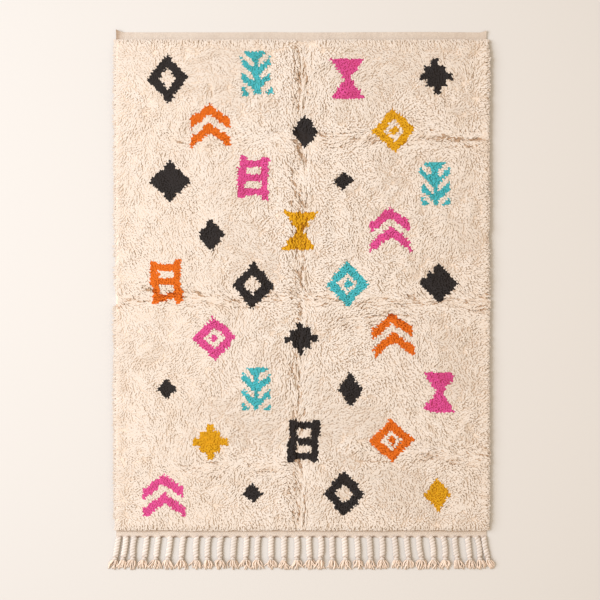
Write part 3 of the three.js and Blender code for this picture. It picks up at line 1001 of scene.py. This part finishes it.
# %% The shape of a yarn end
SIDES = 3
FLATNESS = 0.30
RING_WIDTHS = {1: 1.0, 2: 0.82}
ROUNDNESS = 0.5
SOFTNESS = 1.0
SOFTNESS_UPSET = 0.6
OVER_FLOOR = 0.2
CELLS_ACROSS = 20
MAP_START, MAP_WIDTH = 0.15, 0.7
MAP_ROOT, MAP_RINGS, MAP_TIP = 0.1, (0.4, 0.8), 0.9
# Painted shade: each end is painted darker and browner at its root, and a little at its two lower corners.
STOP_PAINTED_SHADE = [(0.97, 0.82, 0.68), (1.0, 0.985, 0.965), (1.0, 1.0, 1.0), (1.0, 1.0, 1.0)]
SIDE_PAINTED_SHADE = (0.98, 0.94, 0.89)


def shade_tint(shade):
    """The tint that a shade gives its yarn: dark brown for the painted shade of a parting, then dull to its
    own.
    """
    level = (shade + 0.5) / SHADES
    tints = np.array(SHADE_TINTS)
    return np.stack([np.interp(level, SHADE_STOPS, tints[:, part]) for part in range(3)], axis=1)


def tube_faces():
    """The corners of one end's faces, and their places on a map cell: first quads, then triangles."""
    quads, tris, quad_maps, tri_maps = [], [], [], []
    tip = 2 * SIDES + 1
    low, high = MAP_RINGS
    for n in range(SIDES):
        after = (n + 1) % SIDES
        left, right = (MAP_START + MAP_WIDTH * place / SIDES for place in (n, n + 1))
        quads.append([1 + n, 1 + after, 4 + after, 4 + n])
        quad_maps.append([(left, low), (right, low), (right, high), (left, high)])
        tris += [[0, 1 + after, 1 + n], [4 + n, 4 + after, tip]]
        tri_maps.append([(0.5, MAP_ROOT), (right, low), (left, low)])
        tri_maps.append([(left, high), (right, high), (0.5, MAP_TIP)])
    return (np.array(quads), np.array(tris)), (np.array(quad_maps), np.array(tri_maps))


def tube_mesh(name, x, y, i, j):
    """One mesh of many yarn ends. The side that lies underneath is left flat, and the others are soft."""
    lines, thick, yarn, shade = lay_yarn(x, y, i, j)
    count = len(x)
    ahead = lines[-1] - lines[0]
    flat = np.maximum(np.hypot(ahead[:, 0], ahead[:, 1]), 1e-6)
    side = np.stack([-ahead[:, 1] / flat, ahead[:, 0] / flat, np.zeros(count)], axis=1)
    per_end = 2 * SIDES + 2
    points, colours, normals = (np.zeros((count, per_end, 3)) for _ in range(3))
    tints = YARN_TINTS[yarn] * shade_tint(shade)
    for ring, width in RING_WIDTHS.items():
        step = lines[ring + 1] - lines[ring - 1]
        step /= np.linalg.norm(step, axis=1)[:, None]
        lift = np.cross(step, side)
        for corner in range(SIDES):
            angle = math.pi / 2 + 2 * math.pi * corner / SIDES
            out = math.cos(angle) * side + FLATNESS * math.sin(angle) * lift
            n = 1 + (ring - 1) * SIDES + corner
            points[:, n] = lines[ring] + (thick * width)[:, None] * out
            # Painted shade on the lower corners and towards the root.
            colours[:, n] = tints * np.array(STOP_PAINTED_SHADE[ring]) * np.array(SIDE_PAINTED_SHADE if corner else (1, 1, 1))
            normals[:, n] = lift + ROUNDNESS * math.cos(angle) * side
        normals[:, 0 if ring == 1 else per_end - 1] = lift
    for n, stop in ((0, 0), (per_end - 1, 3)):
        points[:, n] = lines[stop]
        colours[:, n] = tints * np.array(STOP_PAINTED_SHADE[stop])
    points[:, :, 2] = np.maximum(points[:, :, 2], OVER_FLOOR)
    normals[:, :, 2] += SOFTNESS * (1 - SOFTNESS_UPSET * disturbed(x, y))[:, None]
    normals /= np.linalg.norm(normals, axis=2)[:, :, None]
    kinds, kind_maps = tube_faces()
    first = (np.arange(count) * per_end)[:, None, None]
    faces = [(kind[None] + first).reshape(-1, kind.shape[1]) for kind in kinds]
    soft = [normals[:, kind] for kind in kinds]
    soft[0][:, 1] = 0
    soft[1][:, 2:4] = 0
    soft = np.concatenate([kind.reshape(-1, 3) for kind in soft])
    round_quads, round_tris = [True, False, True], [True, True, False, False, True, True]
    smooth = np.concatenate([np.tile(round_quads, count), np.tile(round_tris, count)])
    cell = yarn * SHADES + shade
    cells = np.stack([cell % CELLS_ACROSS, cell // CELLS_ACROSS], axis=1)[:, None, None, :]
    maps = np.concatenate([((cells + kind[None]) / CELLS_ACROSS).reshape(-1, 2) for kind in kind_maps])
    return mesh_from_arrays(name, points.reshape(-1, 3), faces, colours.reshape(-1, 3), maps, smooth, soft)


# %% Knot the yarn ends in, in five lengths of the rug
LENGTHS = 5
OVERRUN = 50.0
rooted = [np.concatenate(pair) for pair in zip(field_roots(), rim_roots())]
for part in range(LENGTHS):
    whole = FAR - NEAR + 2 * OVERRUN
    low, high = (NEAR - OVERRUN + whole * end / LENGTHS for end in (part, part + 1))
    chosen = (rooted[1] >= low) & (rooted[1] < high)
    mesh = tube_mesh(f"pile_{part + 1}", *[values[chosen] for values in rooted])
    add_piece(f"pile_{part + 1}", mesh, pile_wool, "rug_body")

# %% [markdown]
# ## The woven ground
# Between the pile and each end the ground shows as a narrow flat-woven band of undyed wool, tan and
# slightly heathered. It is one sheet under the whole pile, 3 mm thick. At the plain end its corners are
# pulled out, and the left one curls up off the floor.

# %% Weave finish
WARP_PITCH = 4.6 * MM
WEFT_PITCH = 2.6 * MM
WEAVE_BUMP = 1.2 * MM
DULL_WOOL = (0.52, 0.41, 0.33, 1)
CLEAR_WOOL = (0.75, 0.655, 0.565, 1)


def weave_finish(name):
    finish, start, shader = new_finish(name)
    place = start.node("ShaderNodeTexCoord", output="Object")
    x, y = (start.node("ShaderNodeSeparateXYZ", inputs={"Vector": place}, output=axis) for axis in "XY")

    def noise(scale, detail, roughness=0.5):
        inputs = {"Vector": place, "Scale": scale, "Detail": detail, "Roughness": roughness}
        return start.node("ShaderNodeTexNoise", inputs=inputs)

    waver = noise(60.0, 2.0)
    ribs = (x * (2 * math.pi / WARP_PITCH) + waver * 2.5).sine()
    rows = (y * (2 * math.pi / WEFT_PITCH) + ribs * 1.2 + waver * 3.0).sine()
    relief = ribs * 0.5 + rows * 0.5
    heather = noise(170.0, 5.0, roughness=0.7)
    patch = noise(14.0, 3.0)
    # Painted shade: the raised threads of the weave are a little lighter, and its furrows a little darker.
    tone = heather * 0.8 + patch * 0.5 + relief * 0.12 - 0.15
    shade = start.node("ShaderNodeAttribute", {"attribute_name": "wool"}, output="Color")
    feed(shader, "Base Color", tone.mix(DULL_WOOL, CLEAR_WOOL).tinted(shade))
    bump = {"Strength": 0.6, "Distance": WEAVE_BUMP, "Height": relief + heather * 0.6}
    feed(shader, "Normal", start.node("ShaderNodeBump", inputs=bump))
    set_sockets(shader, MATT | {"Sheen Weight": 0.15})
    return finish


ground_weave = weave_finish("ground_weave")

# %% A cloth with two faces
def thick_cloth(name, columns, rows, lay):
    """A grid whose points are laid out by a function, and then given the cloth's thickness upwards.

    Its two faces are smooth and its cut edges sharp. Gives the mesh and its points in millimetres.
    """
    shaping = bmesh.new()
    bmesh.ops.create_grid(shaping, x_segments=columns, y_segments=rows, size=0.5)
    co = np.array([vert.co[:] for vert in shaping.verts])
    for vert, place in zip(shaping.verts, np.stack(lay(co[:, 0] * CLOTH_WIDTH, co[:, 1]), axis=1)):
        vert.co = place
    made = bmesh.ops.extrude_face_region(shaping, geom=shaping.faces[:])
    upper = [item for item in made["geom"] if isinstance(item, bmesh.types.BMVert)]
    bmesh.ops.translate(shaping, vec=(0, 0, CLOTH_THICK), verts=upper)
    bmesh.ops.recalc_face_normals(shaping, faces=shaping.faces)
    bmesh.ops.scale(shaping, vec=(MM, MM, MM), verts=shaping.verts)
    for face in shaping.faces:
        face.smooth = abs(face.normal.z) > 0.5
    for edge in shaping.edges:
        edge.smooth = len({face.smooth for face in edge.link_faces}) == 1
    mesh = bpy.data.meshes.new(name)
    shaping.to_mesh(mesh)
    shaping.free()
    return mesh, np.array([vert.co[:] for vert in mesh.vertices]) / MM


def darkened(share, tint):
    """The tint of each point, from 1 where share is 0 to the given tint where it is 1."""
    return 1 - share[:, None] * (1 - np.array(tint))


# %% Ground sheet
GROUND_COLUMNS = 240
GROUND_ROWS = 22
BAND_ROWS = 10
UNDER_PILE = 12.0
RIPPLE = 0.35
RIPPLE_PITCH = 60.0
# Painted shade: the ground's right half is painted darker and warmer towards its right edge.
BAND_PAINTED_FALLOFF = (0.03, 0.05, 0.075)
# Painted shade: the ground along its left edge, in the plain end's half, is painted darker where the corner
# curls.
CURL_PAINTED_SHADE = (0.70, 0.58, 0.47)
CURL_PAINTED_SHADE_WIDTH = 15.0
# Painted light: the lower band and the strip below it are painted a tenth lighter, against the shade of the
# pile's rim.
NEAR_BAND_PAINTED_LIGHT = 1.1
# Painted shade: a darker brown line on the lower band, just under the edge of the pile.
FOOT_PAINTED_SHADE = (0.74, 0.62, 0.52)
FOOT_PAINTED_SHADE_WIDTH = 4.5
FOOT_PAINTED_SHADE_PITCH = 26.0


def ear_shape(x):
    """How far the plain end is pulled out at this place across the rug, and how high it is lifted."""
    rise, lift = np.zeros(len(x)), np.zeros(len(x))
    for ear in EARS:
        share = np.clip(1 - (CLOTH_WIDTH / 2 - ear["side"] * x) / ear["width"], 0, 1)
        rise += ear["rise"] * share**2
        lift += ear["lift"] * share**1.6
    return rise, lift


def lay_ground(x, level):
    """The ground's points, in rows that are close together in the two bands."""
    stops = [0, BAND_ROWS, GROUND_ROWS - BAND_ROWS, GROUND_ROWS]
    low = FRINGE_END_Y + HEADER_DEPTH - CUT_CLOSED * CUT
    y = np.interp((level + 0.5) * GROUND_ROWS, stops, [low, NEAR + UNDER_PILE, FAR - UNDER_PILE, PLAIN_END_Y])
    share = np.clip((y - FAR + UNDER_PILE) / (PLAIN_END_Y - FAR + UNDER_PILE), 0, 1)
    rise, lift = ear_shape(x)
    y = y + share * (rise + EDGE_UNEVENNESS * smooth_noise(x, 0, EDGE_PITCH, EDGE_LAYER))
    z = lift * share**1.5
    return x, y, z + RIPPLE * share * (1 + smooth_noise(x, y, RIPPLE_PITCH, 81))


def make_ground():
    """The sheet, with painted shade in its curled corner, under the pile's edge and to the right."""
    mesh, points = thick_cloth("woven_ground", GROUND_COLUMNS, GROUND_ROWS, lay_ground)
    x, y, _ = points.T
    turned = bell(CLOTH_WIDTH / 2 + x, CURL_PAINTED_SHADE_WIDTH) * (y > 0)
    foot = bell(y - NEAR + 3, FOOT_PAINTED_SHADE_WIDTH) * (0.75 + 0.25 * smooth_noise(x, 0, FOOT_PAINTED_SHADE_PITCH, 82))
    shades = np.where(y > 0, 1, NEAR_BAND_PAINTED_LIGHT)[:, None] * darkened(turned, CURL_PAINTED_SHADE)
    shades = shades * (1 - (np.clip(x / RIGHT, 0, 1) ** 2)[:, None] * np.array(BAND_PAINTED_FALLOFF))
    paint(mesh, shades * darkened(foot, FOOT_PAINTED_SHADE))
    return mesh


woven_ground = add_piece("woven_ground", make_ground(), ground_weave, "rug_body")

# %% [markdown]
# ## The fringe
# The warp runs on past the lower band. Its ends are gathered in 32 groups, each group is twisted in
# two plies that wind round each other, tied in a knot, and left loose below it as a tassel. The cords
# lean out a little towards the corners, and no two hang quite alike. A cord could be one tube with a
# painted twist, but two real plies also give its scalloped outline and its shadow.

# %% Sizes of the fringe
CORDS = 32
CORD_INSET = 10.0
CORD_LENGTH = 82.0
CORD_LEAN = 14.0
CORD_WAVE = 3.5
CORNER_TILT = 0.4
KNOT_LENGTH = 12.0
TAIL_LENGTH = 42.0
TAIL_FAN = math.radians(16)
FRINGE_REACH_Y = -1067.0
CORNER_SPACING = {"left": [0.58, 0.7], "right": [0.76, 0.56]}
GAP_SPREAD = 0.07
LEAN_CHANCE = 3.0
TILT_CHANCE = 0.07
CORD_SPAN = CLOTH_WIDTH - 2 * CORD_INSET
EVEN_PITCH = CORD_SPAN / (CORDS - 1)


def cord_places():
    """Where each cord leaves the cloth: even across the middle, closed up at the corners."""
    gaps = 1 + GAP_SPREAD * sway(np.arange(CORDS - 1), 7)
    gaps[: len(CORNER_SPACING["left"])] = CORNER_SPACING["left"]
    gaps[-len(CORNER_SPACING["right"]):] = CORNER_SPACING["right"]
    return -CORD_SPAN / 2 + CORD_SPAN * np.concatenate([[0], np.cumsum(gaps)]) / gaps.sum()


PLACES = cord_places()
K = np.arange(CORDS)
SHARE = 2 * K / (CORDS - 1) - 1
LEAN = CORD_LEAN * SHARE + LEAN_CHANCE * sway(K, 14)
WAVE = CORD_WAVE * sway(K, 9)
PHASE = math.pi * chance(K, 10)
GAPS = np.diff(PLACES)
ROOM = np.minimum(1, np.minimum(np.append(GAPS, 1e9), np.insert(GAPS, 0, 1e9)) / EVEN_PITCH)
TILT = CORNER_TILT * SHARE**5 + TILT_CHANCE * sway(K, 6)


def cord_middle(k, down):
    """The middle of a cord at a distance down: it drifts out to its corner and wavers a little."""
    t = np.asarray(down) / (CORD_LENGTH + KNOT_LENGTH)
    return PLACES[k] + LEAN[k] * t + WAVE[k] * np.sin(1.3 * math.pi * np.maximum(0, t))


print("cords stand", round(float(EVEN_PITCH), 1), "mm apart")


# %% A tube round any line
def tube(line, radii, sides):
    """Points and faces of a closed tube round a line of points, with a radius at each."""
    ahead = np.gradient(line, axis=0)
    ahead /= np.linalg.norm(ahead, axis=1)[:, None]
    side = np.cross(ahead, (0, 0, 1))
    side /= np.maximum(np.linalg.norm(side, axis=1), 1e-9)[:, None]
    lift = np.cross(side, ahead)
    angle = 2 * math.pi * np.arange(sides) / sides
    ring = np.cos(angle)[None, :, None] * side[:, None]
    ring = ring + np.sin(angle)[None, :, None] * lift[:, None]
    points = (line[:, None] + radii[:, None, None] * ring).reshape(-1, 3)
    n = np.arange(sides)
    after = (n + 1) % sides
    first = np.arange(len(line) - 1)[:, None] * sides
    quads = np.stack([first + n, first + after, first + after + sides, first + n + sides], axis=-1)
    end = (len(line) - 1) * sides
    root, tip = len(points), len(points) + 1
    root_caps = np.stack([after, n, np.full(sides, root)], axis=1)
    tip_caps = np.stack([end + n, end + after, np.full(sides, tip)], axis=1)
    points = np.vstack([points, line[:1], line[-1:]])
    return points, quads.reshape(-1, 4), np.vstack([root_caps, tip_caps])


class Hank:
    """Collects many tubes that become one mesh."""

    def __init__(self):
        self.points, self.quads, self.caps, self.tints, self.count = [], [], [], [], 0

    def add(self, points, quads, caps, tint):
        self.points.append(points)
        self.quads.append(quads + self.count)
        self.caps.append(caps + self.count)
        self.tints.append(tint)
        self.count += len(points)

    def mesh(self, name):
        faces = [np.vstack(self.quads), np.vstack(self.caps)]
        return mesh_from_arrays(name, np.vstack(self.points), faces, np.vstack(self.tints))


# %% Cords of two plies
WARP_TINT = np.array([0.655, 0.575, 0.515])
TASSEL_TINT = np.array([1.09, 1.0, 0.92])
# Painted shade: the brown of a groove between plies, and of the low parts of cords, knots and tassels.
PLY_GROOVE_PAINTED_SHADE = np.array([0.60, 0.46, 0.35])
LAY = 23.0
LAY_SPREAD = 0.06
PLY_RADIUS = 6.5
PLY_OFFSET = 5.9
PLY_REACH = PLY_OFFSET + PLY_RADIUS
PLY_FLATNESS = 0.40
PLY_SIDES = 8
STEPS_PER_TURN = 12
ROOT_RUN = 7.0
ROOT_EASE = 13.0
ROOT_FLARE = 2.0
KNOT_RUN = 7.0
KNOT_SQUEEZE = 0.25
LEAST_OVER_FLOOR = 0.15
GROOVE_FROM = 0.45
GROOVE_EASE = 0.4
SHADE_FREE_HEIGHT = 6.5
CORD_TONE = 0.08
STEP_TONE = 0.05


def with_painted_shade(free_of_shade):
    """The tint of undyed warp with painted shade: brown where the given share is 0, its own where it is 1."""
    return WARP_TINT * (PLY_GROOVE_PAINTED_SHADE + (1 - PLY_GROOVE_PAINTED_SHADE) * np.asarray(free_of_shade)[:, None])


def twisted_cord(hank, k):
    """Two plies that wind round each other, drawn flat at the root and tight at the knot."""
    steps = int((CORD_LENGTH + ROOT_RUN) / LAY * STEPS_PER_TURN)
    down = np.linspace(-ROOT_RUN, CORD_LENGTH + KNOT_RUN, steps)
    turn = 2 * math.pi * down / LAY * (1 + LAY_SPREAD * sway(k, 15)) + PHASE[k]
    rooted = ease(np.clip(1 - (down + ROOT_RUN) / ROOT_EASE, 0, 1))
    tight = 1 - KNOT_SQUEEZE * ease(np.clip((down - CORD_LENGTH + 8) / 10, 0, 1))
    level = PLY_REACH * tight * (1 - 0.75 * rooted)
    middle = np.stack([cord_middle(k, down) + ROOT_FLARE * rooted, FRINGE_END_Y - down, level], axis=1)
    radius = PLY_RADIUS * tight * (1 - 0.7 * rooted)
    for ply, start in ((0, 0.0), (1, math.pi)):
        line = middle.copy()
        line[:, 0] += PLY_OFFSET * np.cos(turn + start) * tight * (1 - 0.2 * rooted)
        line[:, 2] += PLY_OFFSET * np.sin(turn + start) * tight * (1 - 0.4 * rooted)
        points, quads, caps = tube(line, radius, PLY_SIDES)
        # Painted shade: brown in the groove between the plies and low on the cord's sides, but not at its
        # root.
        off = np.linalg.norm(points[:-2].reshape(steps, PLY_SIDES, 3) - middle[:, None], axis=2)
        free_of_shade = ease(np.clip((off / PLY_REACH - GROOVE_FROM) / GROOVE_EASE, 0, 1)).ravel()
        tone = 1 + CORD_TONE * sway(k, 500 + ply)
        tone = tone + STEP_TONE * sway(np.arange(len(points)) // PLY_SIDES, 510 + k)
        points[:, 2] = LEAST_OVER_FLOOR + PLY_FLATNESS * np.maximum(points[:, 2], 0)
        free_of_shade = free_of_shade * np.clip(points[:-2, 2] / SHADE_FREE_HEIGHT - 0.15, 0.1, 1)
        free_of_shade = np.maximum(free_of_shade, np.repeat(rooted, PLY_SIDES))
        hank.add(points, quads, caps, with_painted_shade(np.append(free_of_shade, [0, 0])) * tone[:, None])


LOOP_RADIUS = 6.6
LOOP_HALF_LENGTH = 4.2
LOOP_HEIGHT = 7.4
LOOP_LIFT = 3.4
LOOP_YARN = 3.9
LOOP_SIDES = 7
CORE_HEIGHT = 7.0
CORE_RADII = np.array([6.0, 6.4, 6.6, 6.6, 6.4, 5.8, 4.4, 2.0])


def cord_knot(hank, k):
    """An overhand knot: the cord's end goes once round itself."""
    middle = CORD_LENGTH + KNOT_LENGTH / 2
    turn = np.linspace(-0.3 * math.pi, 2.3 * math.pi, 22)
    x = cord_middle(k, middle) + LOOP_RADIUS * np.cos(turn)
    y = FRINGE_END_Y - middle + np.linspace(LOOP_HALF_LENGTH, -LOOP_HALF_LENGTH, len(turn))
    z = LOOP_HEIGHT + LOOP_LIFT * np.sin(turn)
    points, quads, caps = tube(np.stack([x, y, z], axis=1), np.full(len(turn), LOOP_YARN), LOOP_SIDES)
    # Painted shade: the loop and the core are painted browner on their low parts.
    free_of_shade = np.clip((points[:, 2] - 4) / 8, 0, 1)
    hank.add(points, quads, caps, with_painted_shade(free_of_shade) * (0.95 + 0.06 * sway(k, 520)))
    down = np.linspace(CORD_LENGTH - 4, CORD_LENGTH + KNOT_LENGTH + 1, len(CORE_RADII))
    core = [cord_middle(k, down), FRINGE_END_Y - down, np.full(len(down), CORE_HEIGHT)]
    points, quads, caps = tube(np.stack(core, axis=1), CORE_RADII, PLY_SIDES)
    hank.add(points, quads, caps, with_painted_shade(np.clip((points[:, 2] - 6) / 10, 0, 1)))


cord_hank = Hank()
for k in range(CORDS):
    twisted_cord(cord_hank, k)
    cord_knot(cord_hank, k)
warp_wool = wool_finish("warp_wool", twist_scale=700.0, bump=0.5)
fringe_cords = add_piece("fringe_cords", cord_hank.mesh("fringe_cords"), warp_wool, "fringe")

# %% Tassels
TASSEL_YARNS = 14
TASSEL_YARN_RADIUS = 2.5
TASSEL_SIDES = 5
TASSEL_STEPS = 7
TASSEL_START = CORD_LENGTH + KNOT_LENGTH * 0.6
TASSEL_TONE = 1.08
TASSEL_TONE_SPREAD = 0.12
FAN_WIDENING = 1.35
FAN_CHANCE = 0.24
HEAD_SPREAD = 6.0
BELLY = 4.0
MOST_CURL = 8.0
STACKED = 2.3
STACK_BOW = 1.6


def tassel(hank, k):
    """Loose yarns that fan out below the knot, in three layers."""
    for n in range(TASSEL_YARNS):
        share = 2 * (n + 0.5) / TASSEL_YARNS - 1 + 0.12 * sway(k, 600 + n)
        fan = TAIL_FAN * FAN_WIDENING * ROOM[k] * share + TILT[k] + FAN_CHANCE * sway(k, 620 + n)
        reach = (FRINGE_END_Y - TASSEL_START - FRINGE_REACH_Y) / math.cos(fan)
        length = min(TAIL_LENGTH * (0.70 + 0.34 * chance(k, 640 + n)), reach)
        t = np.linspace(0, 1, TASSEL_STEPS)
        curl = np.sin(math.pi * t * (0.9 + 0.7 * chance(k, 680 + n)))
        curl = MOST_CURL * ROOM[k] * sway(k, 660 + n) * curl
        x = cord_middle(k, TASSEL_START) + share * HEAD_SPREAD
        x = x + np.sin(fan) * length * t + curl + share * BELLY * np.sin(math.pi * np.minimum(t, 0.5))
        y = FRINGE_END_Y - TASSEL_START - np.cos(fan) * length * t
        upper = n % 3
        z = TASSEL_YARN_RADIUS + LEAST_OVER_FLOOR + (2.0 + STACKED * upper) * (1 - t) ** 1.2
        z = z + upper * STACK_BOW * np.sin(math.pi * t)
        radius = TASSEL_YARN_RADIUS * np.interp(t, [0, 0.3, 0.9, 1], [0.9, 1, 0.95, 0.6])
        points, quads, caps = tube(np.stack([x, y, z], axis=1), radius, TASSEL_SIDES)
        # Painted shade: each yarn is painted browner on its underside, near the knot and in the lower layers.
        level = (points[:-2, 2].reshape(-1, TASSEL_SIDES) - z[:, None]) / TASSEL_YARN_RADIUS
        free_of_shade = np.clip(0.25 + 0.7 * level + 0.2 * t[:, None] + 0.28 * upper, 0, 1).ravel()
        tone = TASSEL_TONE + TASSEL_TONE_SPREAD * sway(k, 700 + n)
        hank.add(points, quads, caps, with_painted_shade(np.append(free_of_shade, [0, 1])) * TASSEL_TINT * tone)


tassel_hank = Hank()
for k in range(CORDS):
    tassel(tassel_hank, k)
tassel_mesh = tassel_hank.mesh("fringe_tassels")
fringe_tassels = add_piece("fringe_tassels", tassel_mesh, warp_wool, "fringe")

# %% [markdown]
# ### The strip that the cords grow from
# Where a group of warp ends is drawn to its cord, it pulls the last rows of weaving with it: the band's
# edge runs down to each cord from the left, and just right of the cord it leaves a small notch with a
# raised lip. Under the lip is a painted shadow: a dark brown groove. The strip is the same cloth as the
# ground, cut off it by a hair.

# %% Header strip
EDGE_STOPS = [0.0, 0.17, 0.27, 0.42, 0.8, 1.0]
EDGE_DROPS = [9.0, 9.0, 3.5, 2.0, 6.0, 9.0]
LIP_HEIGHT = 3.4
LIP_PLACE = 0.28
LIP_SHARE = 0.34
LIP_WIDTH = 3.0
EDGE_LIFT = 0.6
GROOVE_OFF = 1.4
GROOVE_WIDTH = 5.2
LIP_PAINTED_SHADOW = (0.20, 0.11, 0.06)
HEADER_STEPS = 16
HEADER_ROWS = 7


def from_cord(x):
    """The share of the way from each cord to the next one at its right."""
    k = np.clip(np.searchsorted(PLACES, x, side="right") - 1, 0, CORDS - 2)
    return np.clip((x - PLACES[k]) / (PLACES[k + 1] - PLACES[k]), 0, 1)


def header_edge(share):
    """The strip's lower edge: highest just right of a cord, and down to the next one."""
    return FRINGE_END_Y - np.interp(share, EDGE_STOPS, EDGE_DROPS)


def header_lip(share, y):
    """How high the lip stands, and how deep in the groove under it a point is."""
    along = np.clip(1 - abs(share - LIP_PLACE) / LIP_SHARE, 0, 1) ** 0.5
    off = y - header_edge(share) - GROOVE_OFF
    return along * bell(off - 2 * GROOVE_WIDTH, LIP_WIDTH), along * bell(off, GROOVE_WIDTH)


def lay_header(x, level):
    """The strip's points, from the cut above it down to its notched lower edge."""
    share = from_cord(x)
    top = FRINGE_END_Y + HEADER_DEPTH - CUT
    down = 0.5 - level
    y = top + (header_edge(share) - top) * down
    lip, _ = header_lip(share, y)
    return x, y, LIP_HEIGHT * lip * down + EDGE_LIFT * down


def make_header():
    mesh, points = thick_cloth("fringe_header", CORDS * HEADER_STEPS, HEADER_ROWS, lay_header)
    _, deep = header_lip(from_cord(points[:, 0]), points[:, 1])
    # Painted light and shadow: as light as the lower band, and dark brown in the groove under each lip.
    paint(mesh, NEAR_BAND_PAINTED_LIGHT * darkened(deep, LIP_PAINTED_SHADOW))
    return mesh


fringe_header = add_piece("fringe_header", make_header(), ground_weave, "fringe")
